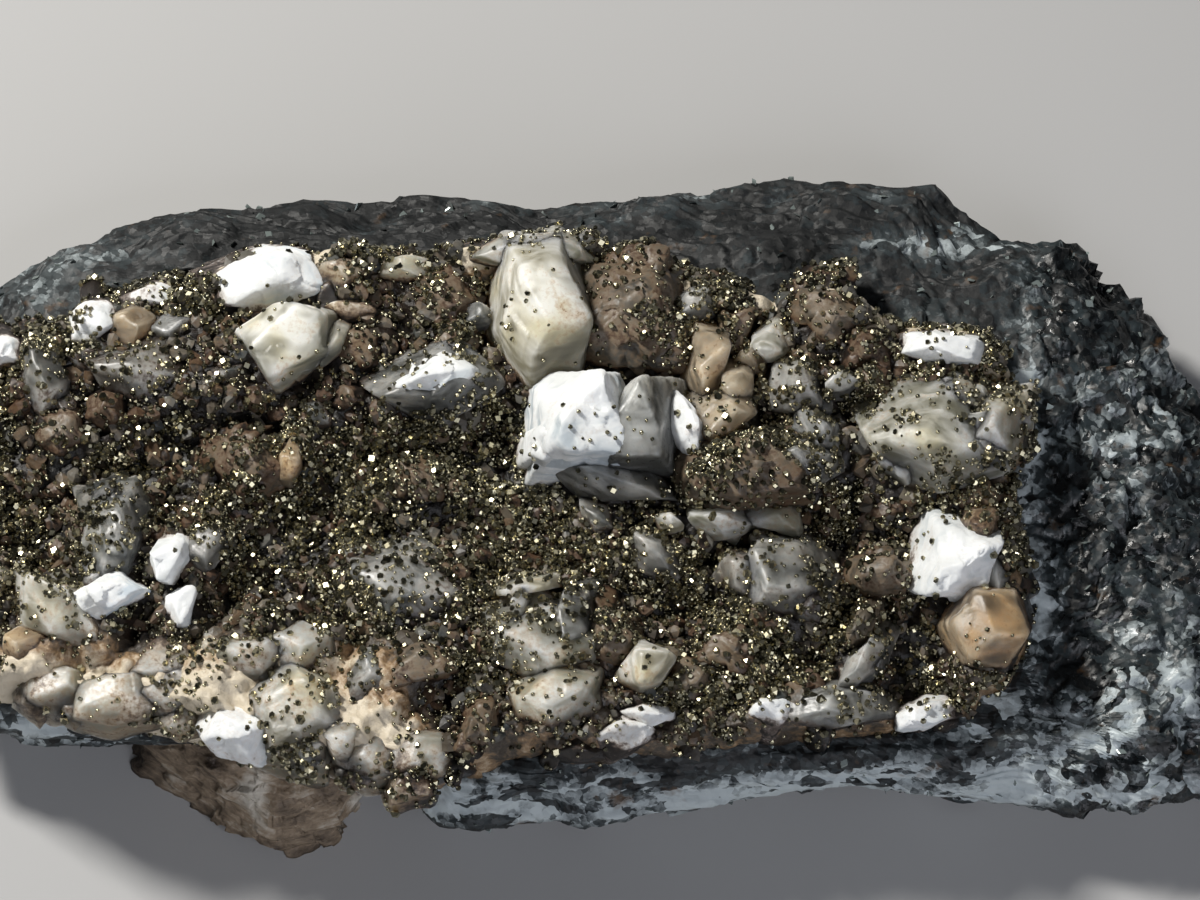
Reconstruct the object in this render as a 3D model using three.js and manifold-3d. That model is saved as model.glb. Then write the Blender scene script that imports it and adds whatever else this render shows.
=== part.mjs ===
// Pyrite on calcite: a hand specimen of dark foliated gneiss that carries a druse of intergrown
// calcite crystals, with a crust of small pyrite crystals in the hollow of the druse.
// Millimetres, +Z up. The slab lies on its broken underside with the druse facing up, +X along its
// length and +Y to the back. The origin is on the resting face, under the middle of the druse.
import * as THREE from "three";
import { mergeVertices } from "three/addons/utils/BufferGeometryUtils.js";
import Module from "manifold-3d";

const wasm = await Module();
wasm.setup();

// Driving dimensions of the rock.
const BASE_SHARE = 0.8; // the resting face, as a share of the plan outline
const BELLY_SHARES = [0.9, 0.945]; // the underside steps out from the resting face to the brow
const BELLY_HEIGHTS = [2.2, 5.4];
const PLATEAU_SHARES = [0.955, 0.88, 0.78, 0.6, 0.35]; // the upper surface, from the brow inwards
const PLATEAU_HEIGHT = 14.6; // rock surface under the druse
const BACK_SLOPE_WIDTH = 13; // how far the rock takes to fall from the plateau to its brow
const END_SLOPE_WIDTH = 11;
const FRONT_SLOPE_WIDTH = 5;
const ROCK_LUMP = 1.5; // relief of the broken rock
const ROCK_LUMP_SIZE = 6;
const ROCK_SIDES = 60;

// Driving dimensions of the druse.
const DRUSE_FLOOR = 17.2; // crust between the crystals
const DRUSE_CENTRE = [-10, -4];
const DRUSE_UNDER = 11.5; // how deep the crust's body starts before the rock is cut out of it
const CRUST_LUMP = 1.4;
const CRUST_LUMP_SIZE = 6.5;
const CRUST_SIDES = 30;
const CRUST_SHARES = [0.95, 0.76, 0.52, 0.26]; // rings of the crust's floor, rim first
const SEAT_GAP = 0.3; // between one mineral and the next
const ROOT_DEPTH = 2.2; // how far a crystal is rooted below the crust's floor
const FACE_JITTER = 0.16; // how unevenly a crystal's faces have grown

// Driving dimensions of the pyrite crust.
const PYRITE_THICK = 0.8;
const PYRITE_HALF_LENGTH = 23;
const PYRITE_HALF_WIDTH = 9.5;
const PYRITE_CENTRE = [-23, -6.5];
const PYRITE_SIDES = 20;
const PYRITE_SHARES = [0.35, 0.7, 1]; // rings of the skin, from its middle outwards
const PYRITE_CUBES = 14;
const PYRITE_CUBE = 1.7;

// The druse is laid out as it is seen from above its front edge: across and up in this view.
const VIEW_ELEVATION = THREE.MathUtils.degToRad(65);
const VIEW_DISTANCE = 667;
const VIEW_HEIGHT = 20;
const viewRight = new THREE.Vector3(1, 0, 0);
const viewUp = new THREE.Vector3(0, Math.sin(VIEW_ELEVATION), Math.cos(VIEW_ELEVATION));
const viewNear = new THREE.Vector3(0, -Math.cos(VIEW_ELEVATION), Math.sin(VIEW_ELEVATION));
const viewTarget = new THREE.Vector3(0, 0, VIEW_HEIGHT);
const viewEye = viewTarget.clone().addScaledVector(viewNear, VIEW_DISTANCE);

// Plan outline of the rock at its brow, where it is widest: x, y and height of the brow.
const BROW = [
  [68.5, -10, 8], [67, -24, 8], [62, -31.8, 8], [51, -34, 9], [40, -33.4, 9], [33, -32.2, 9.5],
  [25, -31.2, 10], [16, -32.6, 9.5], [5, -34.6, 9], [-2, -35.4, 9], [-16, -36, 9], [-22, -31.5, 10],
  [-31, -28.5, 10], [-50, -26.5, 10], [-60, -27, 10], [-66, -24, 10], [-68.5, -8, 9.5], [-67.5, 10, 9],
  [-64.5, 21, 9], [-60, 25, 9], [-50, 30.5, 9.5], [-40, 32.4, 10], [-20, 33.3, 10], [-10, 32.3, 10],
  [2, 33.1, 10], [16, 34.4, 10], [27, 35.2, 10], [35, 34.4, 10], [42, 28.6, 9], [50, 27.6, 8], [56, 21.5, 8],
  [61, 13, 8], [66.5, 4, 8],
];

// Plan outline of the druse: x and y.
const DRUSE_RIM = [
  [41.8, 4], [41.2, -5], [42, -13], [42.2, -19.5], [40, -23.4], [36, -26.4], [29, -28.4], [20, -29],
  [10, -30.4], [0, -31.4], [-8, -31.4], [-16, -33.2], [-24, -32.6], [-30, -31], [-38.5, -28.6],
  [-50, -26], [-60, -24.6], [-64.5, -22], [-66.5, -7], [-65.5, 8], [-60, 12], [-54, 15], [-48, 17],
  [-41.5, 18], [-38.5, 19.8], [-35, 21.6], [-30, 22.2], [-16, 21.8], [-6, 23.2], [0, 22.8], [6, 19.8],
  [12, 18.3], [19, 17], [23, 17.8], [27, 15.9], [30, 14.3], [38, 13], [41, 11],
];

// Hollows in the floor of the druse: across, up, radius, depth.
const HOLLOWS = [
  [30.5, -20.5, 7, 5], [17, -8, 6, 3.2], [-4, -6, 5, 2.6], [-13.5, -3, 6, 2.6], [4, -17, 5, 3.2],
  [11.5, 5.5, 4, 3], [-10, 12, 3.5, 2.5], [-48, -2, 6, 2], [-27, -6, 7, 2.6], [-33, -9, 6, 2.6],
];

// Crystal habits as the slopes of their faces, in the crystal's own box: long, wide and near. The last
// face is the root, which reaches into the crust.
const HABITS = {
  rhomb: [
    [1, 0.34, 0.2], [-1, -0.34, 0], [-0.2, 1, 0.32], [0.2, -1, 0], [0.12, -0.3, 1], [0.7, 0.75, 0.75],
    [-0.8, -0.5, 0.75], [0, 0, -1],
  ],
  block: [
    [1, 0.12, 0.1], [-1, -0.08, 0.12], [-0.1, 1, 0.14], [0.1, -1, 0.1], [0.1, -0.12, 1], [0.8, 0.5, 0.55],
    [-0.7, 0.65, 0.6], [0, 0, -1],
  ],
  dome: [
    [1, 0, 0.25], [-1, 0, 0.25], [0.5, 0.9, 0.25], [-0.5, 0.9, 0.25], [0.5, -0.9, 0.2], [-0.5, -0.9, 0.2],
    [0.1, 0.6, 0.95], [0.62, -0.35, 0.95], [-0.62, -0.3, 0.95], [0, 0, -1],
  ],
  spindle: [
    [0.62, 0.85, 0.3], [0.62, -0.85, 0.3], [0.62, 0.1, 0.95], [-0.42, 0.92, 0.3], [-0.42, -0.92, 0.3],
    [-0.42, 0, 1], [-1.02, 0, 0.2], [0, 0, -1],
  ],
  lump: [
    [1, 0.2, 0.2], [-1, 0.1, 0.2], [0.4, 0.9, 0.2], [-0.4, 0.95, 0.25], [0.35, -0.95, 0.25],
    [-0.5, -0.85, 0.2], [0.6, 0.2, 0.85], [-0.55, 0.3, 0.85], [-0.05, -0.6, 0.9], [0, 0, -1],
  ],
};

// Calcite crystals: name, across, up, height of the middle, long, wide, deep, turn in degrees, habit.
const CRYSTALS = [
  ["heart_crown", -33.2, 16.7, 20.6, 10.8, 6.4, 8, 8, "lump"],
  ["heart", -31.4, 10.3, 22.1, 11.2, 8, 9, -32, "rhomb"],
  ["end_a", -64, 4.5, 19.4, 6, 5, 6, 60, "rhomb"],
  ["end_b", -63.6, -5, 19.1, 6.4, 5, 6, -20, "dome"],
  ["end_c", -62.4, -13.6, 19.4, 6.6, 5.2, 6, 30, "rhomb"],
  ["left_rim_white", -60, 10, 19, 5, 3.4, 6, 0, "lump"],
  ["left_rib", -55.5, 6.5, 19.4, 9, 5, 7, 100, "dome"],
  ["rim_white_a", -50.8, 12.6, 19.4, 5.4, 4.4, 6, 20, "lump"],
  ["rim_tan", -46.6, 11.8, 19.8, 5.2, 5, 6, 0, "dome"],
  ["rim_grey", -42.4, 12, 20, 5, 3.8, 6, 15, "dome"],
  ["grey_dusted_a", -45.2, 7.6, 19.9, 11.5, 6.6, 7, 5, "rhomb"],
  ["grey_lens", -38.4, 6.6, 20, 6.6, 4.4, 6, 20, "dome"],
  ["tan_ball", -49.2, 3.8, 19.1, 4.4, 4.2, 6, 0, "lump"],
  ["crown_right", -25.6, 17, 20.2, 6, 4.8, 6, -10, "dome"],
  ["rim_cream", -19.4, 17.8, 19.7, 6.4, 3.4, 6, 0, "lump"],
  ["pink_slip", -25, 13.8, 19.8, 5.4, 2.8, 6, 12, "rhomb"],
  ["brown_dusted_a", -15.4, 15.2, 20.3, 6, 5.4, 7, -15, "dome"],
  ["pyrite_knoll", -24.4, 9.8, 19.7, 6.4, 5.4, 6, 0, "lump"],
  ["cleaved", -16.2, 6.6, 21.4, 11.2, 6.2, 8, 22, "rhomb"],
  ["small_grey", -27.8, 3.8, 19.4, 3.4, 3.2, 6, 0, "rhomb"],
  ["small_brown", -25.4, 5.4, 19.4, 4.2, 2.6, 6, 10, "lump"],
  ["rim_plate", -7.2, 19.8, 20.9, 13, 3.4, 6, 3, "block"],
  ["tall", -5.4, 13, 23.3, 13.6, 9.2, 11, 97, "dome"],
  ["rust_block", 3.4, 13, 20.9, 10.8, 10.6, 9, -8, "block"],
  ["grey_ball", 9.6, 14.4, 20.6, 4.4, 4.2, 7, 0, "lump"],
  ["dusted_rim", 12.4, 15, 20.2, 5.2, 3.2, 6, -10, "lump"],
  ["white_block", -1.2, 3, 24.4, 10, 9.6, 11, -6, "block"],
  ["grey_block", 4.8, 2.4, 23.8, 10, 7.4, 10, 80, "rhomb"],
  ["white_wedge", 8.4, 2.4, 23.1, 6, 3.4, 8, -62, "rhomb"],
  ["white_lobe", -5.4, 0.6, 23.3, 4.6, 3.6, 8, 60, "lump"],
  ["tan_pillar", 10.6, 9, 21.7, 6.6, 3.6, 8, 72, "block"],
  ["cream_stud", 17, 10.4, 22, 3.4, 3, 7, 15, "rhomb"],
  ["tan_cube", 13.6, 6.6, 22.2, 3.6, 3.4, 8, 80, "block"],
  ["tan_brick", 12.2, 3.8, 22.8, 6.4, 3.8, 8, 14, "block"],
  ["grey_dotted", 19.8, 6, 21.6, 6.4, 6, 8, -30, "rhomb"],
  ["grey_tile", 24, 6.4, 21.6, 4.2, 2.6, 7, 8, "block"],
  ["arch", 23.2, 13, 20.6, 7.6, 6.4, 7, -30, "dome"],
  ["dark_knoll", 27, 9.6, 20.2, 5.4, 5, 7, 0, "lump"],
  ["grey_step", 21.6, 1.4, 21.3, 6, 4.6, 8, -35, "rhomb"],
  ["tan_dusted", 14.4, -2, 22.5, 12.4, 7.6, 9, 6, "block"],
  ["grey_corner", 20.4, -1.4, 22, 6, 5.4, 8, 20, "rhomb"],
  ["pale_chip", 12.2, -7, 20.3, 6, 3.6, 7, 6, "rhomb"],
  ["right_white", 34, 10.2, 20.8, 8.6, 3.6, 7, -4, "lump"],
  ["right_bead", 35, 6, 20.6, 3, 2.6, 6, 0, "lump"],
  ["right_big", 34.4, 1, 22.8, 14.2, 8.2, 10, 4, "rhomb"],
  ["right_tan_side", 29, 1.2, 20.9, 3.6, 6.4, 8, -12, "block"],
  ["right_brown", 38, -5.2, 20.2, 5, 4, 6, -30, "lump"],
  ["snow", 35.8, -11.4, 21.4, 8, 6.6, 8, 60, "rhomb"],
  ["snow_top", 38, -7.6, 20.8, 4.4, 4, 7, 80, "lump"],
  ["honey", 39, -18, 21.3, 8, 7.4, 8, 84, "dome"],
  ["mauve", 28, -12.6, 19.7, 5.4, 4.4, 6, -15, "lump"],
  ["blue_grey", 18, -13, 20.3, 9, 7.6, 8, -30, "dome"],
  ["grey_pair_a", 5.6, -10.6, 19.7, 5.6, 4, 6, -30, "rhomb"],
  ["small_honey", 4.6, -21.8, 21.7, 5.2, 4.2, 7, 50, "block"],
  ["bar", -7.4, -13.6, 21.3, 6, 1.4, 7, 6, "block"],
  ["stem", -8, -16.2, 21.1, 5, 2, 7, 78, "block"],
  ["nest_main", -5.6, -20, 21.3, 10.4, 7, 8, -6, "dome"],
  ["nest_grey", -3, -18, 21.4, 6.4, 4.2, 7, 85, "dome"],
  ["nest_foot", -4.6, -25, 20.9, 9.4, 6.2, 8, 8, "dome"],
  ["blue_dusted", -19.6, -14.6, 20.2, 11.6, 7, 7, -12, "dome"],
  ["tan_grey", -17.8, -3, 19.5, 4.8, 3.6, 6, -15, "rhomb"],
  ["rust_cluster", -35, -2, 19.7, 7, 6, 7, -30, "dome"],
  ["tan_seed", -31, -1.4, 19.9, 4.6, 2.6, 6, 80, "spindle"],
  ["blue_bead", -39.4, -9.6, 19.4, 5, 3.8, 6, 80, "lump"],
  ["stub", -48.8, -9.4, 20.8, 9, 5.6, 8, 96, "dome"],
  ["stub_white", -49.4, -14.6, 21.4, 6.8, 4, 7, 26, "rhomb"],
  ["stub_cream", -54, -16.4, 20.9, 9.6, 5.8, 8, -26, "rhomb"],
  ["white_chip_a", -43.2, -10.8, 20.5, 4.4, 3.6, 7, 60, "block"],
  ["white_chip_b", -42, -15.8, 20, 4.6, 3, 6, 75, "block"],
  ["amber", -57.4, -19.6, 19.9, 5, 3.8, 6, 0, "dome"],
  ["shore_a", -54, -24, 18.1, 5.4, 4, 6, 0, "lump"],
  ["shore_b", -48, -25, 18.6, 7.4, 4.8, 6, 5, "lump"],
  ["shore_c", -42.2, -24.4, 18.9, 7, 5, 6, 10, "dome"],
  ["cream_back", -35.6, -20.8, 20.2, 6.2, 4.8, 7, 38, "rhomb"],
  ["pink_back", -30.4, -20.2, 20, 7, 5.8, 7, 0, "dome"],
  ["bottom_white", -36.2, -28.2, 19.4, 7.6, 5.4, 7, -30, "lump"],
  ["bottom_cream", -30, -27, 20.2, 9.8, 9, 8, -50, "dome"],
  ["bottom_cream_edge", -26, -28.6, 19.7, 4, 3.6, 7, 70, "block"],
  ["shore_e", -23, -31, 18.1, 6.4, 4, 6, -10, "lump"],
  ["shore_f", -17.8, -30.8, 18.3, 7, 5, 6, 5, "lump"],
  ["grey_dusted_b", -22.6, -23, 19.9, 6.8, 5.4, 7, 80, "dome"],
  ["brown_brick", -18.2, -21.6, 20.2, 7.6, 4.4, 7, 12, "block"],
  ["dark_point", -12.4, -27.6, 19.9, 6.4, 3.4, 7, -105, "spindle"],
  ["rim_snow_a", 2.2, -28.6, 18.3, 6, 3.8, 6, 20, "rhomb"],
  ["rim_snow_b", 5, -26.2, 18.6, 5, 2.8, 6, 12, "rhomb"],
  ["finger", 26, -21.6, 19.9, 6, 2.8, 6, 56, "dome"],
  ["finger_foot", 23, -25.8, 18.8, 10, 4.2, 6, 4, "lump"],
  ["pink_tip", 26.2, -17.8, 19.7, 4.4, 2.6, 6, 70, "rhomb"],
  ["pale_foot", 16.8, -26.4, 18.6, 4.4, 4, 6, 40, "rhomb"],
  ["rim_crust", 32, -26.6, 17.8, 5.4, 2.8, 5, 12, "lump"],
  ["dusted_step", 9, -23.4, 19.2, 5.4, 4.4, 6, 10, "dome"],
];

// A repeatable pseudo-random number from 0 to 1 for three whole numbers.
function hash(i, j, k) {
  const s = Math.sin(i * 127.1 + j * 311.7 + k * 74.7) * 43758.5453;
  return s - Math.floor(s);
}

// Value noise from -1 to 1: hashed numbers on a unit lattice, blended smoothly between.
function noise(x, y, z) {
  const [i, j, k] = [x, y, z].map(Math.floor);
  const ease = (t) => t * t * (3 - 2 * t);
  const [u, v, w] = [ease(x - i), ease(y - j), ease(z - k)];
  let sum = 0;
  for (let c = 0; c < 8; c++) {
    const [a, b, d] = [c & 1, (c >> 1) & 1, c >> 2];
    sum += hash(i + a, j + b, k + d) * (a ? u : 1 - u) * (b ? v : 1 - v) * (d ? w : 1 - w);
  }
  return 2 * sum - 1;
}

function smooth(t) {
  const c = THREE.MathUtils.clamp(t, 0, 1);
  return c * c * (3 - 2 * c);
}

// The place at a height that is seen at this distance across and up in the view.
function seenAt(across, up, height) {
  const on = viewTarget.clone().addScaledVector(viewRight, across).addScaledVector(viewUp, up);
  const share = (height - viewEye.z) / (on.z - viewEye.z);
  return viewEye.clone().lerp(on, share);
}

// Where the ray at this angle from a centre meets a closed outline, with the outline's third value.
function outlineAt(outline, centre, angle) {
  const [dx, dy] = [Math.cos(angle), Math.sin(angle)];
  for (let i = 0; i < outline.length; i++) {
    const [ax, ay, az = 0] = outline[i];
    const [bx, by, bz = 0] = outline[(i + 1) % outline.length];
    const [px, py, ex, ey] = [ax - centre[0], ay - centre[1], bx - ax, by - ay];
    const turn = dx * ey - dy * ex;
    const along = (px * dy - py * dx) / turn;
    const reach = (px * ey - py * ex) / turn;
    if (reach > 0 && along >= 0 && along < 1) return { reach, third: az + (bz - az) * along };
  }
  throw new Error("the outline doesn't go round its centre");
}

// A closed surface through rings of equal length, from a point below the first to one above the last.
function loft(rings, bottom, top) {
  const n = rings[0].length;
  const points = [...rings.flat(), bottom, top];
  const index = [];
  rings.slice(1).forEach((_, r) => {
    for (let i = 0; i < n; i++) {
      const [a, b] = [r * n + i, r * n + ((i + 1) % n)];
      index.push(a, b, b + n, a, b + n, a + n);
    }
  });
  const last = (rings.length - 1) * n;
  for (let i = 0; i < n; i++) {
    const j = (i + 1) % n;
    index.push(points.length - 2, j, i, points.length - 1, last + i, last + j);
  }
  return new THREE.BufferGeometry().setFromPoints(points).setIndex(index);
}

// The convex body inside a set of planes, each a unit normal and a distance from the origin.
function insidePlanes(planes) {
  const EDGE = 1e-5;
  const corners = [];
  for (let i = 0; i < planes.length; i++)
    for (let j = 0; j < i; j++)
      for (let k = 0; k < j; k++) {
        const [p, q, r] = [planes[i], planes[j], planes[k]];
        const qr = new THREE.Vector3().crossVectors(q.normal, r.normal);
        const volume = p.normal.dot(qr);
        if (Math.abs(volume) < 1e-6) continue;
        const at = qr
          .multiplyScalar(p.reach)
          .addScaledVector(new THREE.Vector3().crossVectors(r.normal, p.normal), q.reach)
          .addScaledVector(new THREE.Vector3().crossVectors(p.normal, q.normal), r.reach)
          .divideScalar(volume);
        const inside = planes.every((o) => o.normal.dot(at) < o.reach + EDGE);
        if (inside && !corners.some((c) => c.distanceTo(at) < 1e-3)) corners.push(at);
      }
  const index = [];
  for (const { normal, reach } of planes) {
    const face = corners.map((_, c) => c).filter((c) => Math.abs(normal.dot(corners[c]) - reach) < 1e-3);
    if (face.length < 3) continue;
    const middle = face.reduce((m, c) => m.add(corners[c]), new THREE.Vector3()).divideScalar(face.length);
    const east = corners[face[0]].clone().sub(middle).normalize();
    const north = new THREE.Vector3().crossVectors(normal, east);
    const bearing = (c) => {
      const from = corners[c].clone().sub(middle);
      return Math.atan2(from.dot(north), from.dot(east));
    };
    face.sort((a, b) => bearing(a) - bearing(b));
    for (let i = 1; i + 1 < face.length; i++) index.push(face[0], face[i], face[i + 1]);
  }
  return new THREE.BufferGeometry().setFromPoints(corners).setIndex(index);
}

function toSolid(geometry) {
  const bare = geometry.clone();
  bare.deleteAttribute("normal");
  bare.deleteAttribute("uv");
  const merged = mergeVertices(bare, 1e-4);
  return new wasm.Manifold(
    new wasm.Mesh({
      numProp: 3,
      vertProperties: new Float32Array(merged.attributes.position.array),
      triVerts: new Uint32Array(merged.index.array),
    }),
  );
}

function toGeometry(solid) {
  const mesh = solid.getMesh();
  return new THREE.BufferGeometry()
    .setAttribute("position", new THREE.BufferAttribute(mesh.vertProperties, 3))
    .setIndex(new THREE.BufferAttribute(mesh.triVerts, 1));
}

const joined = (solids) => solids.reduce((all, one) => all.add(one));
const largest = (solid) => solid.decompose().sort((a, b) => b.volume() - a.volume())[0];

// Height of the rock's upper surface: a plateau that falls to the brow, faster at the front.
function rockTop(angle, inset, brow) {
  const back = smooth(Math.sin(angle) * 1.6 + 0.1);
  const end = smooth(Math.cos(angle) * 2 - 0.9);
  const width = Math.max(
    FRONT_SLOPE_WIDTH + (BACK_SLOPE_WIDTH - FRONT_SLOPE_WIDTH) * back,
    FRONT_SLOPE_WIDTH + (END_SLOPE_WIDTH - FRONT_SLOPE_WIDTH) * end,
  );
  const in01 = THREE.MathUtils.clamp(inset / width, 0, 1);
  return brow + (PLATEAU_HEIGHT - brow) * in01 * (2 - in01);
}

// The gneiss: rings from the flat resting face, round the belly and brow, and over the plateau.
function gneiss() {
  const angles = Array.from({ length: ROCK_SIDES }, (_, i) => (i / ROCK_SIDES) * 2 * Math.PI);
  const edge = angles.map((a) => outlineAt(BROW, [0, 0], a));
  const rough = (p, share) => {
    const s = ROCK_LUMP_SIZE;
    const lump = ROCK_LUMP * share;
    p.x += lump * noise(p.x / s, p.y / s, p.z / s + 7);
    p.y += lump * noise(p.x / s, p.y / s, p.z / s + 19);
    p.z += lump * 0.7 * noise(p.x / s, p.y / s, p.z / s + 31);
    return p;
  };
  const ring = (share, height, lump) =>
    angles.map((a, i) => {
      const r = edge[i].reach * share;
      const [x, y] = [r * Math.cos(a), r * Math.sin(a)];
      return rough(new THREE.Vector3(x, y, height(a, edge[i], r)), lump);
    });
  const foot = ring(BASE_SHARE, () => 0, 0);
  const belly = BELLY_SHARES.map((s, i) => ring(s, () => BELLY_HEIGHTS[i], 1));
  const brow = ring(1, (a, e) => e.third, 1);
  const upper = PLATEAU_SHARES.map((s) => ring(s, (a, e, r) => rockTop(a, e.reach - r, e.third), 1));
  const summit = new THREE.Vector3(0, 0, PLATEAU_HEIGHT);
  const slab = loft([foot, ...belly, brow, ...upper], new THREE.Vector3(), summit);
  return toSolid(slab).add(toSolid(weatheredSpur()));
}

// A weathered spur of the rock that stands out under the front of the druse and reaches the ground.
function weatheredSpur() {
  const faces = [
    [-0.52, -0.72, 0.42, 5.2], [0.25, -0.85, 0.35, 5.6], [0.86, -0.45, 0.1, 7.2], [-0.95, 0.1, 0.2, 14],
    [0, 1, 0, 8], [-0.12, -0.35, 0.93, 3.4], [0, 0, -1, 5], [0.3, 0.2, 0.9, 5.4], [-0.5, -0.85, -0.1, 7.4],
  ];
  const planes = faces.map(([x, y, z, reach]) => ({ normal: new THREE.Vector3(x, y, z).normalize(), reach }));
  return insidePlanes(planes).translate(-32, -27.5, 5);
}

// Height of the druse floor: nearly level, hollowed between the crystals and a little lumpy.
const hollowPlaces = HOLLOWS.map(([across, up, radius, depth]) => ({
  at: seenAt(across, up, DRUSE_FLOOR),
  radius,
  depth,
}));
function druseFloor(x, y) {
  const hollow = hollowPlaces.reduce((sum, { at, radius, depth }) => {
    const far = Math.hypot(x - at.x, y - at.y) / radius;
    return sum + depth * 0.5 * Math.exp(-far * far);
  }, 0);
  const lump = CRUST_LUMP * noise(x / CRUST_LUMP_SIZE, y / CRUST_LUMP_SIZE, 3);
  return Math.max(DRUSE_FLOOR - hollow + lump, PLATEAU_HEIGHT + 1.2);
}

// Face planes of a crystal about its own middle, moved out by a margin.
function crystalPlanes([, , , height, long, wide, deep, turn, habit], number, margin) {
  const half = new THREE.Vector3(long, wide, deep).multiplyScalar(0.5);
  const lean = new THREE.Euler((hash(number, 1, 5) - 0.5) * 0.5, (hash(number, 2, 5) - 0.5) * 0.5, 0);
  const axes = new THREE.Matrix4().makeBasis(viewRight, viewUp, viewNear);
  const pose = axes
    .multiply(new THREE.Matrix4().makeRotationZ(THREE.MathUtils.degToRad(turn)))
    .multiply(new THREE.Matrix4().makeRotationFromEuler(lean));
  const root = (height - DRUSE_FLOOR + ROOT_DEPTH) / Math.sin(VIEW_ELEVATION);
  return HABITS[habit].map((slope, f, { length }) => {
    const normal = new THREE.Vector3(...slope).divide(half);
    const grown = (1 + FACE_JITTER * (hash(number, f, 9) - 0.5)) / normal.length();
    const reach = (f === length - 1 ? root : grown) + margin;
    return { normal: normal.transformDirection(pose), reach };
  });
}

function crystal(row, number, margin) {
  const [, across, up, height] = row;
  const body = insidePlanes(crystalPlanes(row, number, margin));
  return body.translate(...seenAt(across, up, height).toArray());
}

// The calcite: a crust that fills the druse outline, with its crystals grown into it, cut to the rock.
function calcite(rock) {
  const angles = Array.from({ length: CRUST_SIDES }, (_, i) => (i / CRUST_SIDES) * 2 * Math.PI);
  const [cx, cy] = DRUSE_CENTRE;
  const ring = (share, height) =>
    angles.map((a) => {
      const r = outlineAt(DRUSE_RIM, DRUSE_CENTRE, a).reach * share;
      const [x, y] = [cx + r * Math.cos(a), cy + r * Math.sin(a)];
      return new THREE.Vector3(x, y, height(x, y));
    });
  const under = ring(0.97, () => DRUSE_UNDER);
  const side = ring(1, (x, y) => druseFloor(x, y) - 2);
  const tops = CRUST_SHARES.map((s) => ring(s, druseFloor));
  const middle = new THREE.Vector3(cx, cy, druseFloor(cx, cy));
  const bed = toSolid(loft([under, side, ...tops], new THREE.Vector3(cx, cy, DRUSE_UNDER), middle));
  const grown = joined([bed, ...CRYSTALS.map((row, n) => toSolid(crystal(row, n, 0)))]);
  return largest(grown.subtract(rock.translate([0, 0, SEAT_GAP])));
}

// The pyrite: a thin crust of small cubes on the floor of the druse, with the calcite cut out of it.
function pyrite() {
  const angles = Array.from({ length: PYRITE_SIDES }, (_, i) => (i / PYRITE_SIDES) * 2 * Math.PI);
  const [cx, cy] = PYRITE_CENTRE;
  const ring = (share, lift) =>
    angles.map((a) => {
      const x = cx + PYRITE_HALF_LENGTH * share * Math.cos(a);
      const y = cy + PYRITE_HALF_WIDTH * share * Math.sin(a);
      return new THREE.Vector3(x, y, druseFloor(x, y) + lift);
    });
  const low = 2 * SEAT_GAP;
  const high = low + PYRITE_THICK;
  const lower = PYRITE_SHARES.map((s) => ring(s, low));
  const upper = PYRITE_SHARES.toReversed().map((s) => ring(s, high));
  const [bottom, top] = [low, high].map((lift) => new THREE.Vector3(cx, cy, druseFloor(cx, cy) + lift));
  const sheet = toSolid(loft([...lower, ...upper], bottom, top));
  const cubes = Array.from({ length: PYRITE_CUBES }, (_, n) => {
    const [angle, far] = [hash(n, 3, 1) * 2 * Math.PI, Math.sqrt(hash(n, 3, 2)) * 0.9];
    const x = cx + PYRITE_HALF_LENGTH * far * Math.cos(angle);
    const y = cy + PYRITE_HALF_WIDTH * far * Math.sin(angle);
    const size = PYRITE_CUBE * (0.6 + 0.6 * hash(n, 3, 3));
    const cube = new THREE.BoxGeometry(size, size, size);
    cube.rotateX(hash(n, 3, 4)).rotateZ(hash(n, 3, 5) * 3);
    return toSolid(cube.translate(x, y, druseFloor(x, y) + high));
  });
  return joined([sheet, ...cubes]);
}

const finish = (name, color, roughness, metalness) =>
  new THREE.MeshStandardMaterial({ name, color, roughness, metalness });
const GNEISS = finish("gneiss", 0x3b4346, 0.75, 0);
const CALCITE = finish("calcite", 0xcfc4ae, 0.45, 0);
const PYRITE = finish("pyrite", 0x9a8450, 0.3, 1);

const specimen = new THREE.Group();
function addPiece(name, solid, material) {
  const mesh = new THREE.Mesh(toGeometry(solid), material);
  mesh.name = name;
  specimen.add(mesh);
}

const rock = gneiss();
const crust = calcite(rock);
const clearance = joined(CRYSTALS.map((row, n) => toSolid(crystal(row, n, SEAT_GAP))));
addPiece("gneiss_matrix", rock, GNEISS);
addPiece("calcite_druse", crust, CALCITE);
addPiece("pyrite_crust", largest(pyrite().subtract(clearance).subtract(crust)), PYRITE);

export default specimen;
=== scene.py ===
import math
import bpy
import numpy as np
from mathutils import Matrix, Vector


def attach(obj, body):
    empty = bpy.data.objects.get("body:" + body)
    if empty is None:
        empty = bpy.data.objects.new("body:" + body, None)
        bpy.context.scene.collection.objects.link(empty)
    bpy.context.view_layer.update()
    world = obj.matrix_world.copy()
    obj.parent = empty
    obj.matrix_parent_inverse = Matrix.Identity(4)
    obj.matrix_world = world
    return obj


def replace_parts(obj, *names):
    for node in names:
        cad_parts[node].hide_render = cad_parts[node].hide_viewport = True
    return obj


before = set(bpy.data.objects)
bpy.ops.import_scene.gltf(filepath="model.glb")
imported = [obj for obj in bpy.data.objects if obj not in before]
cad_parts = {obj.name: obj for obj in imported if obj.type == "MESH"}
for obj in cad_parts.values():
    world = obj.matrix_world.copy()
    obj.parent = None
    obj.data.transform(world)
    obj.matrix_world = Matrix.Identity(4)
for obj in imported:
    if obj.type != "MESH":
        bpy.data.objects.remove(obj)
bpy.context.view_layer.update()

# Pyrite on calcite: a gneiss slab with a druse of calcite crystals on top, dusted with pyrite grains.
# Shapes are worked out in millimetres in the frame's own axes and go into their meshes in metres.
MM = 0.001
CHANCE = np.random.default_rng(722)

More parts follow.
